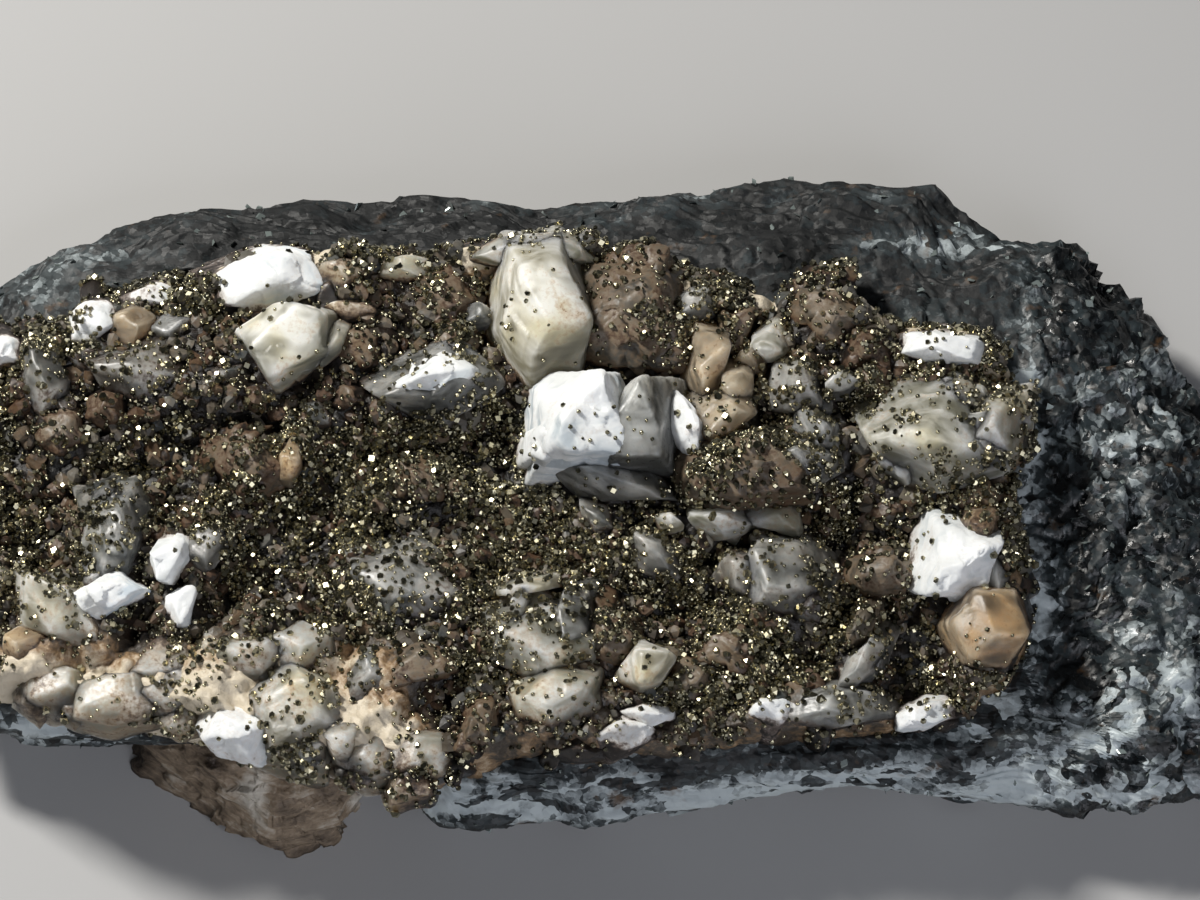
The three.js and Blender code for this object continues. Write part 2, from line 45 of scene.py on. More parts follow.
# The view the druse is laid out in: across and up in the photograph's plane, at its real scale.
PHOTO_WIDTH = 120.0
VIEW_ELEVATION = math.radians(65)
VIEW_DISTANCE = 667.0
VIEW_HEIGHT = 20.0
SENSOR_WIDTH = 36.0
VIEW_RIGHT = np.array([1.0, 0.0, 0.0])
VIEW_UP = np.array([0.0, math.sin(VIEW_ELEVATION), math.cos(VIEW_ELEVATION)])
VIEW_NEAR = np.array([0.0, -math.cos(VIEW_ELEVATION), math.sin(VIEW_ELEVATION)])
VIEW_TARGET = np.array([0.0, 0.0, VIEW_HEIGHT])
VIEW_EYE = VIEW_TARGET + VIEW_DISTANCE * VIEW_NEAR

# The rock, as in the part's source.
BASE_SHARE = 0.8
BELLY_SHARES = [0.9, 0.945]
BELLY_HEIGHTS = [2.2, 5.4]
PLATEAU_HEIGHT = 14.6
BACK_SLOPE_WIDTH = 13.0
END_SLOPE_WIDTH = 11.0
FRONT_SLOPE_WIDTH = 5.0
ROCK_LUMP = 1.5
ROCK_LUMP_SIZE = 6.0
BROW = np.array([
    (68.5, -10, 8), (67, -24, 8), (62, -31.8, 8), (51, -34, 9), (40, -33.4, 9), (33, -32.2, 9.5),
    (25, -31.2, 10), (16, -32.6, 9.5), (5, -34.6, 9), (-2, -35.4, 9), (-16, -36, 9), (-22, -31.5, 10),
    (-31, -28.5, 10), (-50, -26.5, 10), (-60, -27, 10), (-66, -24, 10), (-68.5, -8, 9.5),
    (-67.5, 10, 9), (-64.5, 21, 9), (-60, 25, 9), (-50, 30.5, 9.5), (-40, 32.4, 10), (-20, 33.3, 10),
    (-10, 32.3, 10), (2, 33.1, 10), (16, 34.4, 10), (27, 35.2, 10), (35, 34.4, 10), (42, 28.6, 9),
    (50, 27.6, 8), (56, 21.5, 8), (61, 13, 8), (66.5, 4, 8),
], float)

# The weathered spur: the slope of each face, its distance from the spur's middle, and that middle.
SPUR_FACES = np.array([
    (-0.52, -0.72, 0.42, 5.2), (0.25, -0.85, 0.35, 5.6), (0.86, -0.45, 0.1, 7.2), (-0.95, 0.1, 0.2, 14),
    (0, 1, 0, 8), (-0.12, -0.35, 0.93, 3.4), (0, 0, -1, 5), (0.3, 0.2, 0.9, 5.4), (-0.5, -0.85, -0.1, 7.4),
], float)
SPUR_MIDDLE = np.array([-32, -27.5, 5.0])
SPUR_SHARP = 26  # how crisp its edges are

# The druse, as in the part's source.
DRUSE_FLOOR = 17.2
DRUSE_CENTRE = np.array([-10.0, -4.0])
DRUSE_UNDER = 11.5
CRUST_LUMP = 1.4
CRUST_LUMP_SIZE = 6.5
CRUST_LEAST = 1.2
ROOT_DEPTH = 2.2
FACE_JITTER = 0.16
DRUSE_RIM = np.array([
    (41.8, 4), (41.2, -5), (42, -13), (42.2, -19.5), (40, -23.4), (36, -26.4), (29, -28.4), (20, -29),
    (10, -30.4), (0, -31.4), (-8, -31.4), (-16, -33.2), (-24, -32.6), (-30, -31), (-38.5, -28.6),
    (-50, -26), (-60, -24.6), (-64.5, -22), (-66.5, -7), (-65.5, 8), (-60, 12), (-54, 15), (-48, 17),
    (-41.5, 18), (-38.5, 19.8), (-35, 21.6), (-30, 22.2), (-16, 21.8), (-6, 23.2), (0, 22.8), (6, 19.8),
    (12, 18.3), (19, 17), (23, 17.8), (27, 15.9), (30, 14.3), (38, 13), (41, 11),
], float)
# Hollows in the floor: across, up, radius, depth.
HOLLOWS = [
    (30.5, -20.5, 7, 5), (17, -8, 6, 3.2), (-4, -6, 5, 2.6), (-13.5, -3, 6, 2.6), (4, -17, 5, 3.2),
    (11.5, 5.5, 4, 3), (-10, 12, 3.5, 2.5), (-48, -2, 6, 2), (-27, -6, 7, 2.6), (-33, -9, 6, 2.6),
]

# Crystal habits: the slopes of the faces in the crystal's own box, long, wide and near. The root is last.
HABITS = {
    "rhomb": [
        (1, 0.34, 0.2), (-1, -0.34, 0), (-0.2, 1, 0.32), (0.2, -1, 0), (0.12, -0.3, 1), (0.7, 0.75, 0.75),
        (-0.8, -0.5, 0.75), (0, 0, -1),
    ],
    "block": [
        (1, 0.12, 0.1), (-1, -0.08, 0.12), (-0.1, 1, 0.14), (0.1, -1, 0.1), (0.1, -0.12, 1),
        (0.8, 0.5, 0.55), (-0.7, 0.65, 0.6), (0, 0, -1),
    ],
    "dome": [
        (1, 0, 0.25), (-1, 0, 0.25), (0.5, 0.9, 0.25), (-0.5, 0.9, 0.25), (0.5, -0.9, 0.2),
        (-0.5, -0.9, 0.2), (0.1, 0.6, 0.95), (0.62, -0.35, 0.95), (-0.62, -0.3, 0.95), (0, 0, -1),
    ],
    "spindle": [
        (0.62, 0.85, 0.3), (0.62, -0.85, 0.3), (0.62, 0.1, 0.95), (-0.42, 0.92, 0.3),
        (-0.42, -0.92, 0.3), (-0.42, 0, 1), (-1.02, 0, 0.2), (0, 0, -1),
    ],
    "heart": [
        (-1.23, -0.75, 0.1), (-0.77, 0.77, 0.2), (0, 1, 0.2), (1.05, 0.1, 0.15), (0.86, -0.91, 0.1),
        (0.1, -0.12, 1), (-0.55, 0.35, 0.9), (0.55, -0.3, 0.95), (0, 0, -1),
    ],
    "lump": [
        (1, 0.2, 0.2), (-1, 0.1, 0.2), (0.4, 0.9, 0.2), (-0.4, 0.95, 0.25), (0.35, -0.95, 0.25),
        (-0.5, -0.85, 0.2), (0.6, 0.2, 0.85), (-0.55, 0.3, 0.85), (-0.05, -0.6, 0.9), (0, 0, -1),
    ],
}

# Calcite crystals: name, across, up, height of the middle, long, wide, deep, turn in degrees, habit,
# finish, how densely pyrite dusts it and how far rust stains it, both from 0 to 1.
CRYSTALS = [
    ("heart_crown", -33.2, 16.7, 20.6, 10.8, 6.4, 8, 8, "lump", "white", 0.02, 0.15),
    ("heart", -31.6, 10.4, 22.1, 11, 8.4, 9, -4, "heart", "cream", 0.03, 0.1),
    ("end_a", -64, 4.5, 19.4, 6, 5, 6, 60, "rhomb", "grey", 1.0, 0.5),
    ("end_b", -63.6, -5, 19.1, 6.4, 5, 6, -20, "dome", "grey", 1.0, 0.5),
    ("end_c", -62.4, -13.6, 19.4, 6.6, 5.2, 6, 30, "rhomb", "cream", 0.6, 0.4),
    ("left_rim_white", -60, 10, 19, 5, 3.4, 6, 0, "lump", "white", 0.1, 0.3),
    ("left_rib", -55.5, 6.5, 19.4, 9, 5, 7, 100, "dome", "grey", 1.0, 0.5),
    ("rim_white_a", -50.8, 12.6, 19.4, 5.4, 4.4, 6, 20, "lump", "white", 0.15, 0.3),
    ("rim_tan", -46.6, 11.8, 19.8, 5.2, 5, 6, 0, "dome", "honey", 0.15, 0.4),
    ("rim_grey", -42.4, 12, 20, 5, 3.8, 6, 15, "dome", "grey", 0.1, 0.2),
    ("grey_dusted_a", -45.2, 7.6, 19.9, 11.5, 6.6, 7, 5, "rhomb", "grey", 1.0, 0.5),
    ("grey_lens", -38.4, 6.6, 20, 6.6, 4.4, 6, 20, "dome", "grey", 0.6, 0.4),
    ("tan_ball", -49.2, 3.8, 19.1, 4.4, 4.2, 6, 0, "lump", "dusty", 0.6, 0.7),
    ("crown_right", -25.6, 17, 20.2, 6, 4.8, 6, -10, "dome", "cream", 0.15, 0.6),
    ("rim_cream", -19.4, 17.8, 19.7, 6.4, 3.4, 6, 0, "lump", "cream", 0.1, 0.4),
    ("pink_slip", -25, 13.8, 19.8, 5.4, 2.8, 6, 12, "rhomb", "cream", 0.2, 0.6),
    ("brown_dusted_a", -15.4, 15.2, 20.3, 6, 5.4, 7, -15, "dome", "dusty", 0.5, 0.6),
    ("pyrite_knoll", -24.4, 9.8, 19.7, 6.4, 5.4, 6, 0, "lump", "dusty", 1, 0.5),
    ("cleaved", -16.2, 6.6, 21.4, 11.2, 6.2, 8, 22, "rhomb", "grey", 0.35, 0.25),
    ("small_grey", -27.8, 3.8, 19.4, 3.4, 3.2, 6, 0, "rhomb", "grey", 0.3, 0.3),
    ("small_brown", -25.4, 5.4, 19.4, 4.2, 2.6, 6, 10, "lump", "dusty", 0.4, 0.7),
    ("rim_plate", -7.2, 19.8, 20.9, 13, 3.4, 6, 3, "block", "cream", 0.1, 0.3),
    ("tall", -5.4, 13, 23.3, 13.6, 9.2, 11, 97, "dome", "cream", 0.05, 0.1),
    ("rust_block", 3.4, 13, 20.9, 10.8, 10.6, 9, -8, "block", "dusty", 0.5, 0.5),
    ("grey_ball", 9.6, 14.4, 20.6, 4.4, 4.2, 7, 0, "lump", "grey", 0.3, 0.3),
    ("dusted_rim", 12.4, 15, 20.2, 5.2, 3.2, 6, -10, "lump", "dusty", 0.8, 0.4),
    ("white_block", -1.4, 3, 24.4, 8.8, 9.6, 11, -6, "block", "white", 0.01, 0.02),
    ("grey_block", 4.2, 2.5, 24.1, 6.4, 9.2, 10.4, -6, "block", "grey", 0.03, 0.1),
    ("white_wedge", 8.4, 2.4, 23.1, 6, 3.4, 8, -62, "rhomb", "white", 0.05, 0.1),
    ("white_lobe", -5.4, 0.6, 23.3, 4.6, 3.6, 8, 60, "lump", "white", 0.05, 0.1),
    ("tan_pillar", 10.6, 9, 21.7, 6.6, 3.6, 8, 72, "block", "honey", 0.05, 0.35),
    ("cream_stud", 17, 10.4, 22, 3.4, 3, 7, 15, "rhomb", "cream", 0.05, 0.2),
    ("tan_cube", 13.6, 6.6, 22.2, 3.6, 3.4, 8, 80, "block", "honey", 0.05, 0.35),
    ("tan_brick", 12.2, 3.8, 22.8, 6.4, 3.8, 8, 14, "block", "honey", 0.1, 0.3),
    ("grey_dotted", 19.8, 6, 21.6, 6.4, 6, 8, -30, "rhomb", "grey", 0.3, 0.3),
    ("grey_tile", 24, 6.4, 21.6, 4.2, 2.6, 7, 8, "block", "grey", 0.2, 0.1),
    ("arch", 23.2, 13, 20.6, 7.6, 6.4, 7, -30, "dome", "dusty", 0.6, 0.4),
    ("dark_knoll", 27, 9.6, 20.2, 5.4, 5, 7, 0, "lump", "dusty", 0.9, 0.7),
    ("grey_step", 21.6, 1.4, 21.3, 6, 4.6, 8, -35, "rhomb", "grey", 0.3, 0.3),
    ("tan_dusted", 14.4, -2, 22.5, 12.4, 7.6, 9, 6, "block", "dusty", 0.9, 0.5),
    ("grey_corner", 20.4, -1.4, 22, 6, 5.4, 8, 20, "rhomb", "grey", 0.4, 0.4),
    ("pale_chip", 12.2, -7, 20.3, 6, 3.6, 7, 6, "rhomb", "cream", 0.2, 0.2),
    ("right_white", 34, 10.2, 20.8, 8.6, 3.6, 7, -4, "lump", "white", 0.03, 0.1),
    ("right_bead", 35, 6, 20.6, 3, 2.6, 6, 0, "lump", "cream", 0.1, 0.3),
    ("right_big", 33.4, 0.6, 22.8, 12, 8.2, 10, 4, "rhomb", "cream", 0.3, 0.15),
    ("right_tan_side", 29, 1.2, 20.9, 3.6, 6.4, 8, -12, "block", "honey", 0.2, 0.5),
    ("right_brown", 38, -5.2, 20.2, 5, 4, 6, -30, "lump", "dusty", 0.5, 0.7),
    ("snow", 35.8, -11.4, 21.4, 8, 6.6, 8, 60, "rhomb", "white", 0.02, 0.1),
    ("snow_top", 38, -7.6, 20.8, 4.4, 4, 7, 80, "lump", "honey", 0.2, 0.8),
    ("honey", 39, -18, 21.3, 8, 7.4, 8, 84, "dome", "honey", 0.03, 0.35),
    ("mauve", 28, -12.6, 19.7, 5.4, 4.4, 6, -15, "lump", "dusty", 0.4, 0.4),
    ("blue_grey", 18, -13, 20.3, 9, 7.6, 8, -30, "dome", "grey", 0.7, 0.4),
    ("grey_pair_a", 5.6, -10.6, 19.7, 5.6, 4, 6, -30, "rhomb", "grey", 0.4, 0.4),
    ("small_honey", 4.6, -21.8, 21.7, 5.2, 4.2, 7, 50, "block", "cream", 0.05, 0.2),
    ("bar", -7.4, -13.6, 21.3, 6, 1.4, 7, 6, "block", "cream", 0.1, 0.2),
    ("stem", -8, -16.2, 21.1, 5, 2, 7, 78, "block", "cream", 0.2, 0.2),
    ("nest_main", -5.6, -20, 21.3, 10.4, 7, 8, -6, "dome", "cream", 0.5, 0.25),
    ("nest_grey", -3, -18, 21.4, 6.4, 4.2, 7, 85, "dome", "grey", 0.25, 0.2),
    ("nest_foot", -4.6, -25, 20.9, 9.4, 6.2, 8, 8, "dome", "cream", 0.15, 0.3),
    ("blue_dusted", -19.6, -14.6, 20.2, 11.6, 7, 7, -12, "dome", "grey", 1.0, 0.4),
    ("tan_grey", -17.8, -3, 19.5, 4.8, 3.6, 6, -15, "rhomb", "dusty", 0.5, 0.5),
    ("rust_cluster", -35, -2, 19.7, 7, 6, 7, -30, "dome", "dusty", 0.5, 0.6),
    ("tan_seed", -31, -1.4, 19.9, 4.6, 2.6, 6, 80, "spindle", "honey", 0.1, 0.5),
    ("blue_bead", -39.4, -9.6, 19.4, 5, 3.8, 6, 80, "lump", "grey", 0.6, 0.4),
    ("stub", -48.8, -9.4, 20.8, 9, 5.6, 8, 96, "dome", "grey", 0.5, 0.3),
    ("stub_white", -49.4, -14.6, 21.4, 6.8, 4, 7, 26, "rhomb", "white", 0.02, 0.05),
    ("stub_cream", -54, -16.4, 20.9, 9.6, 5.8, 8, -26, "rhomb", "cream", 0.4, 0.25),
    ("white_chip_a", -43.2, -10.8, 20.5, 4.4, 3.6, 7, 60, "block", "white", 0.02, 0.05),
    ("white_chip_b", -42, -15.8, 20, 4.6, 3, 6, 75, "block", "white", 0.05, 0.1),
    ("amber", -57.4, -19.6, 19.9, 5, 3.8, 6, 0, "dome", "honey", 0.1, 0.5),
    ("shore_a", -54, -24, 18.1, 7.2, 5.2, 6, 0, "lump", "cream", 0.1, 0.4),
    ("shore_b", -48, -25, 18.6, 9.4, 5.8, 6, 5, "lump", "cream", 0.1, 0.4),
    ("shore_c", -42.2, -24.4, 18.9, 9, 6.2, 6, 10, "dome", "cream", 0.1, 0.4),
    ("cream_back", -35.6, -20.8, 20.2, 7.4, 5.8, 7, 38, "rhomb", "cream", 0.2, 0.4),
    ("pink_back", -30.4, -20.2, 20, 8, 6.4, 7, 0, "dome", "cream", 0.25, 0.4),
    ("bottom_white", -36.2, -28.2, 19.4, 7.6, 5.4, 7, -30, "lump", "white", 0.02, 0.1),
    ("bottom_cream", -30, -27, 20.2, 9.8, 9, 8, -50, "dome", "cream", 0.28, 0.2),
    ("bottom_cream_edge", -26, -28.6, 19.7, 4, 3.6, 7, 70, "block", "cream", 0.1, 0.3),
    ("shore_e", -23, -31, 18.1, 7.6, 5.2, 6, -10, "lump", "cream", 0.1, 0.4),
    ("shore_f", -17.8, -30.8, 18.3, 8, 5.8, 6, 5, "lump", "cream", 0.15, 0.4),
    ("grey_dusted_b", -22.6, -23, 19.9, 6.8, 5.4, 7, 80, "dome", "grey", 0.8, 0.4),
    ("brown_brick", -18.2, -21.6, 20.2, 7.6, 4.4, 7, 12, "block", "dusty", 0.5, 0.4),
    ("dark_point", -12.4, -27.6, 19.9, 6.4, 3.4, 7, -105, "spindle", "dusty", 0.7, 0.5),
    ("rim_snow_a", 2.2, -28.6, 18.3, 6, 3.8, 6, 20, "rhomb", "white", 0.1, 0.2),
    ("rim_snow_b", 5, -26.2, 18.6, 5, 2.8, 6, 12, "rhomb", "white", 0.1, 0.2),
    ("finger", 26, -21.6, 19.9, 6, 2.8, 6, 56, "dome", "grey", 0.2, 0.3),
    ("finger_foot", 23, -25.8, 18.8, 10, 4.2, 6, 4, "lump", "grey", 0.25, 0.2),
    ("pink_tip", 26.2, -17.8, 19.7, 4.4, 2.6, 6, 70, "rhomb", "dusty", 0.3, 0.3),
    ("pale_foot", 16.8, -26.4, 18.6, 4.4, 4, 6, 40, "rhomb", "white", 0.1, 0.2),
    ("rim_crust", 32, -26.6, 17.8, 5.4, 2.8, 5, 12, "lump", "white", 0.1, 0.3),
    ("dusted_step", 9, -23.4, 19.2, 5.4, 4.4, 6, 10, "dome", "dusty", 0.7, 0.4),
    ("tan_shadow", 13.4, 12, 19.8, 5.4, 3.6, 6, 70, "block", "dusty", 0.3, 0.5),
    ("tan_bridge", 15.2, 8.8, 20.9, 3.2, 2.6, 6, -20, "lump", "honey", 0.1, 0.4),
    ("right_bead_b", 37.6, 5.4, 20.5, 2.2, 2.2, 6, 0, "lump", "cream", 0.1, 0.3),
    ("grey_bead", -12.4, 13.2, 19.7, 3.2, 3, 6, 0, "lump", "grey", 0.2, 0.3),
    ("heart_edge", -26.9, 10.6, 21.4, 3, 4.4, 6, -20, "heart", "cream", 0.05, 0.2),
    ("cream_chip", 6.8, -7.2, 20.2, 2.6, 2.2, 6, 0, "rhomb", "cream", 0.1, 0.2),
    ("pale_chip_b", 17.2, -6.6, 19.9, 6, 2.8, 6, -8, "block", "cream", 0.2, 0.3),
    ("grey_pair_b", 0, -6.6, 19.5, 4.4, 3, 6, -20, "rhomb", "grey", 0.3, 0.4),
    ("rim_white_b", -45, 15.2, 19, 6, 2.8, 5, 10, "lump", "white", 0.15, 0.4),
    ("shore_d", -43.6, -21.6, 19, 6.4, 5, 6, 30, "rhomb", "cream", 0.1, 0.4),
    ("rim_snow_c", -2.4, -29.6, 17.8, 6, 3, 5, 0, "lump", "honey", 0.2, 0.5),
    ("dusted_step_b", 13, -20.6, 19, 6, 5, 6, -10, "lump", "dusty", 0.9, 0.5),
    ("nest_left", -10.6, -19.4, 20.2, 4, 5, 6, 0, "lump", "dusty", 0.7, 0.4),
    ("nest_right", 1.2, -19, 20.2, 5, 6, 7, 20, "lump", "dusty", 0.6, 0.5),
    ("pyrite_knoll_b", -14.8, 10.6, 20, 5, 4, 6, 30, "lump", "dusty", 1, 0.5),
    ("left_rib_foot", -54, 1.8, 18.6, 5.5, 4.5, 6, 80, "lump", "dusty", 0.9, 0.5),
    ("dark_knoll_b", 27.4, 6.2, 19.9, 4.6, 4.6, 7, 0, "lump", "dusty", 0.9, 0.7),
    ("snow_side", 39.8, -13, 20.2, 6, 3.6, 6, -60, "rhomb", "grey", 0.05, 0.2),
    ("grey_base", 1, -3, 20.6, 11, 4.4, 8, -4, "rhomb", "grey", 0.2, 0.2),
    ("cleaved_streak", -16.4, 7.2, 23.4, 7.4, 3.6, 5.4, 26, "rhomb", "white", 0.15, 0.1),
    ("right_block", 39.4, 1.6, 22, 5.4, 6.4, 8, -4, "block", "cream", 0.25, 0.3),
]


def hashed(lattice):
    """A repeatable number from 0 to 1 for each row of three whole numbers: the fraction of a large sine."""
    wave = np.sin(lattice @ np.array([127.1, 311.7, 74.7])) * 43758.5453
    return wave - np.floor(wave)


def noise(points, size, seed=0):
    """Value noise from -1 to 1: hashed numbers on a lattice of this size, blended smoothly between."""
    spot = points / size + np.array([0, 0, seed])
    cell = np.floor(spot)
    part = spot - cell
    part = part * part * (3 - 2 * part)
    total = np.zeros(points.shape[:-1])
    for corner in np.ndindex(2, 2, 2):
        share = np.where(np.array(corner) == 1, part, 1 - part).prod(axis=-1)
        total += share * hashed(cell + corner)
    return 2 * total - 1


def layered(points, size, layers, seed=0):
    """Noise summed over layers, each half the size and just over half the height of the one before."""
    return sum(0.55**k * noise(points, size / 2**k, seed + 13 * k) for k in range(layers))


def grains(points, size, seed=0):
    """Cells round seeds hashed into a lattice.

    Gives each point's offset from its nearest seed, and the hashed numbers of that seed's cell.
    """
    spot = points / size + seed
    cell = np.floor(spot)
    nearest = np.full(len(spot), np.inf)
    offset = np.zeros_like(spot)
    own = np.zeros_like(spot)
    for step in np.ndindex(3, 3, 3):
        home = cell + step - 1
        numbers = np.stack([hashed(home + shift) for shift in (0.0, 17.0, 41.0)], -1)
        gap = spot - home - numbers
        far = np.linalg.norm(gap, axis=1)
        closer = far < nearest
        nearest = np.where(closer, far, nearest)
        offset[closer] = gap[closer]
        own[closer] = numbers[closer]
    return offset * size, own


def broken(points, size, seed, lift, tilt):
    """Height of a break through grains: every cell has its own level and its own slope."""
    offset, own = grains(points, size, seed)
    return lift * (own[:, 0] - 0.5) + tilt * (offset * (own - 0.5)).sum(axis=1)


CAP_REACH = 0.75  # how far a rounded lump reaches from its seed, in sizes


def botryoid(points, size, seed):
    """Rounded lumps side by side: a cap over each cell, 1 at its seed and 0 from the cap's reach out."""
    offset, _ = grains(points, size, seed)
    return np.sqrt(np.clip(1 - (np.linalg.norm(offset, axis=1) / (CAP_REACH * size)) ** 2, 0, 1))


def smooth(t):
    """Eases from 0 to 1 as t does: three t squared less two t cubed."""
    t = np.clip(t, 0, 1)
    return t * t * (3 - 2 * t)


def seen_at(across, up, height):
    """The place at a height that shows at this distance across and up: the eye's ray, cut at that height."""
    on = VIEW_TARGET + across * VIEW_RIGHT + up * VIEW_UP
    share = (height - VIEW_EYE[2]) / (on[2] - VIEW_EYE[2])
    return VIEW_EYE + share * (on - VIEW_EYE)


def photo_place(points):
    """Across and up in the photograph's plane for each point: its ray from the eye, cut at that plane."""
    ray = points - VIEW_EYE
    scale = VIEW_DISTANCE / -(ray @ VIEW_NEAR)
    return (ray @ VIEW_RIGHT) * scale, (ray @ VIEW_UP) * scale


def along_outline(outline, count):
    """Points evenly spaced along a closed outline, against the clock, every column blended along it."""
    loop = np.vstack([outline, outline[:1]])[::-1]
    length = np.concatenate([[0], np.cumsum(np.linalg.norm(np.diff(loop[:, :2], axis=0), axis=1))])
    spots = np.arange(count) / count * length[-1]
    return np.stack([np.interp(spots, length, column) for column in loop.T], -1)


def shell_triangles(rows, cols):
    """Triangles of a closed surface: a pole, rows of points that close round, and a pole."""
    c = np.arange(cols)
    d = (c + 1) % cols
    r = np.arange(rows - 1)[:, None] * cols + 1
    a, b, e, f = (np.ravel(r + k) for k in (c, d, d + cols, c + cols))
    last = rows * cols + 1
    low = last - cols
    first_fan = np.stack([0 * c, 1 + c, 1 + d], -1)
    last_fan = np.stack([low + c, 0 * c + last, low + d], -1)
    return np.concatenate([first_fan, np.stack([a, f, e], -1), np.stack([a, e, b], -1), last_fan])


def spread(points, triangles):
    """Outward normal and share of area at each point, from the triangles that meet there."""
    corner = points[triangles]
    face = np.cross(corner[:, 1] - corner[:, 0], corner[:, 2] - corner[:, 0])
    total = np.zeros_like(points)
    for k in range(3):
        np.add.at(total, triangles[:, k], face / 6)
    area = np.linalg.norm(total, axis=1)
    return total / np.maximum(area, 1e-9)[:, None], area


def add_piece(name, points, triangles, material, slot, is_smooth=True, **attributes):
    """One mesh object from arrays in millimetres, riding on the part, with an attribute for each extra."""
    mesh = bpy.data.meshes.new(name)
    mesh.vertices.add(len(points))
    mesh.vertices.foreach_set("co", (points * MM).astype(np.float32).ravel())
    mesh.loops.add(3 * len(triangles))
    mesh.loops.foreach_set("vertex_index", triangles.astype(np.int32).ravel())
    mesh.polygons.add(len(triangles))
    mesh.polygons.foreach_set("loop_start", np.arange(0, 3 * len(triangles), 3, dtype=np.int32))
    mesh.polygons.foreach_set("use_smooth", np.full(len(triangles), is_smooth))
    for key, values in attributes.items():
        is_colour = values.ndim == 2
        layer = mesh.attributes.new(key, "FLOAT_COLOR" if is_colour else "FLOAT", "POINT")
        if is_colour:
            values = np.column_stack([values, np.ones(len(values))])
        layer.data.foreach_set("color" if is_colour else "value", values.astype(np.float32).ravel())
    mesh.update(calc_edges=True)
    mesh.materials.append(material)
    piece = bpy.data.objects.new(name, mesh)
    bpy.context.scene.collection.objects.link(piece)
    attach(piece, "root")
    return piece


def join(shells):
    """Several point and triangle arrays as one, the triangles renumbered."""
    starts = np.cumsum([0] + [len(points) for points, _ in shells[:-1]])
    points = np.concatenate([points for points, _ in shells])
    return points, np.concatenate([faces + start for (_, faces), start in zip(shells, starts)])


# The rock
ROCK_COLS = 640
FOLIATION = 0.9  # thickness of a layer
LAYER_WAVE = 1.2  # how far the layers wander up and down
LEDGE_SHARE = 0.7  # how far the break steps from layer to layer
LAYER_STRETCH = np.array([0.26, 0.5, 1.3])  # grains are long and thin along the layers
GRANULAR_START = 38.0  # from here to the right end the rock is granular, not layered
GRANULAR_WIDTH = 10.0
# Paler quartz and darker mica on the break: across, up, half width, half height, strength. The spots
# along the front strip are paler partly as painted light, where the strip faces away from the key light,
# and the broad dark spots on the back ledge are darker partly as painted shade, where it faces the light.
TONE_SPOTS_WITH_PAINTED_LIGHT = [
    (-34, 23, 26, 5, -0.4), (14, 22, 30, 6, -0.4), (44, 18, 10, 6, -0.3),
    (30, 20.6, 7, 1.4, 0.5), (38, 20.4, 6, 2, 0.6), (43, 17, 3, 3, 0.4), (-52, 20, 8, 1.6, 0.35),
    (-30, 24, 12, 1.2, 0.15), (2, 24, 12, 1.6, 0.2), (42.4, 2, 1.6, 12, 0.5), (44, -16, 2.6, 6, 0.55),
    (39, -27, 4, 2.2, 0.7), (49, -28.4, 6, 3, 0.6), (53, -23, 2.4, 4, 0.6), (57.6, -23.4, 2, 4, 0.55),
    (52, 1, 4, 3, 0.4), (48, -33.4, 14, 1.8, 0.9), (10, -35, 20, 2, 0.9), (-16, -36, 7, 2.4, 0.95),
    (30, -33.6, 12, 1.6, 0.8),
    (-34.8, -35, 2.2, 2.8, 0.8), (56, 9, 3, 6, 0.3), (-56, -27.6, 10, 1.2, 0.6),
]


def paleness_with_painted_light(points):
    """How pale or dark the rock is: a bell for every pale or dark spot in the photograph's plane, some of
    them painted light and painted shade.
    """
    across, up = photo_place(points)
    total = np.zeros(len(points))
    for spot_across, spot_up, half_width, half_height, strength in TONE_SPOTS_WITH_PAINTED_LIGHT:
        far = ((across - spot_across) / half_width) ** 2 + ((up - spot_up) / half_height) ** 2
        total += strength * np.exp(-far)
    return np.clip(total * (1 + 0.6 * layered(points, 3, 3, 57)), -0.5, 1)


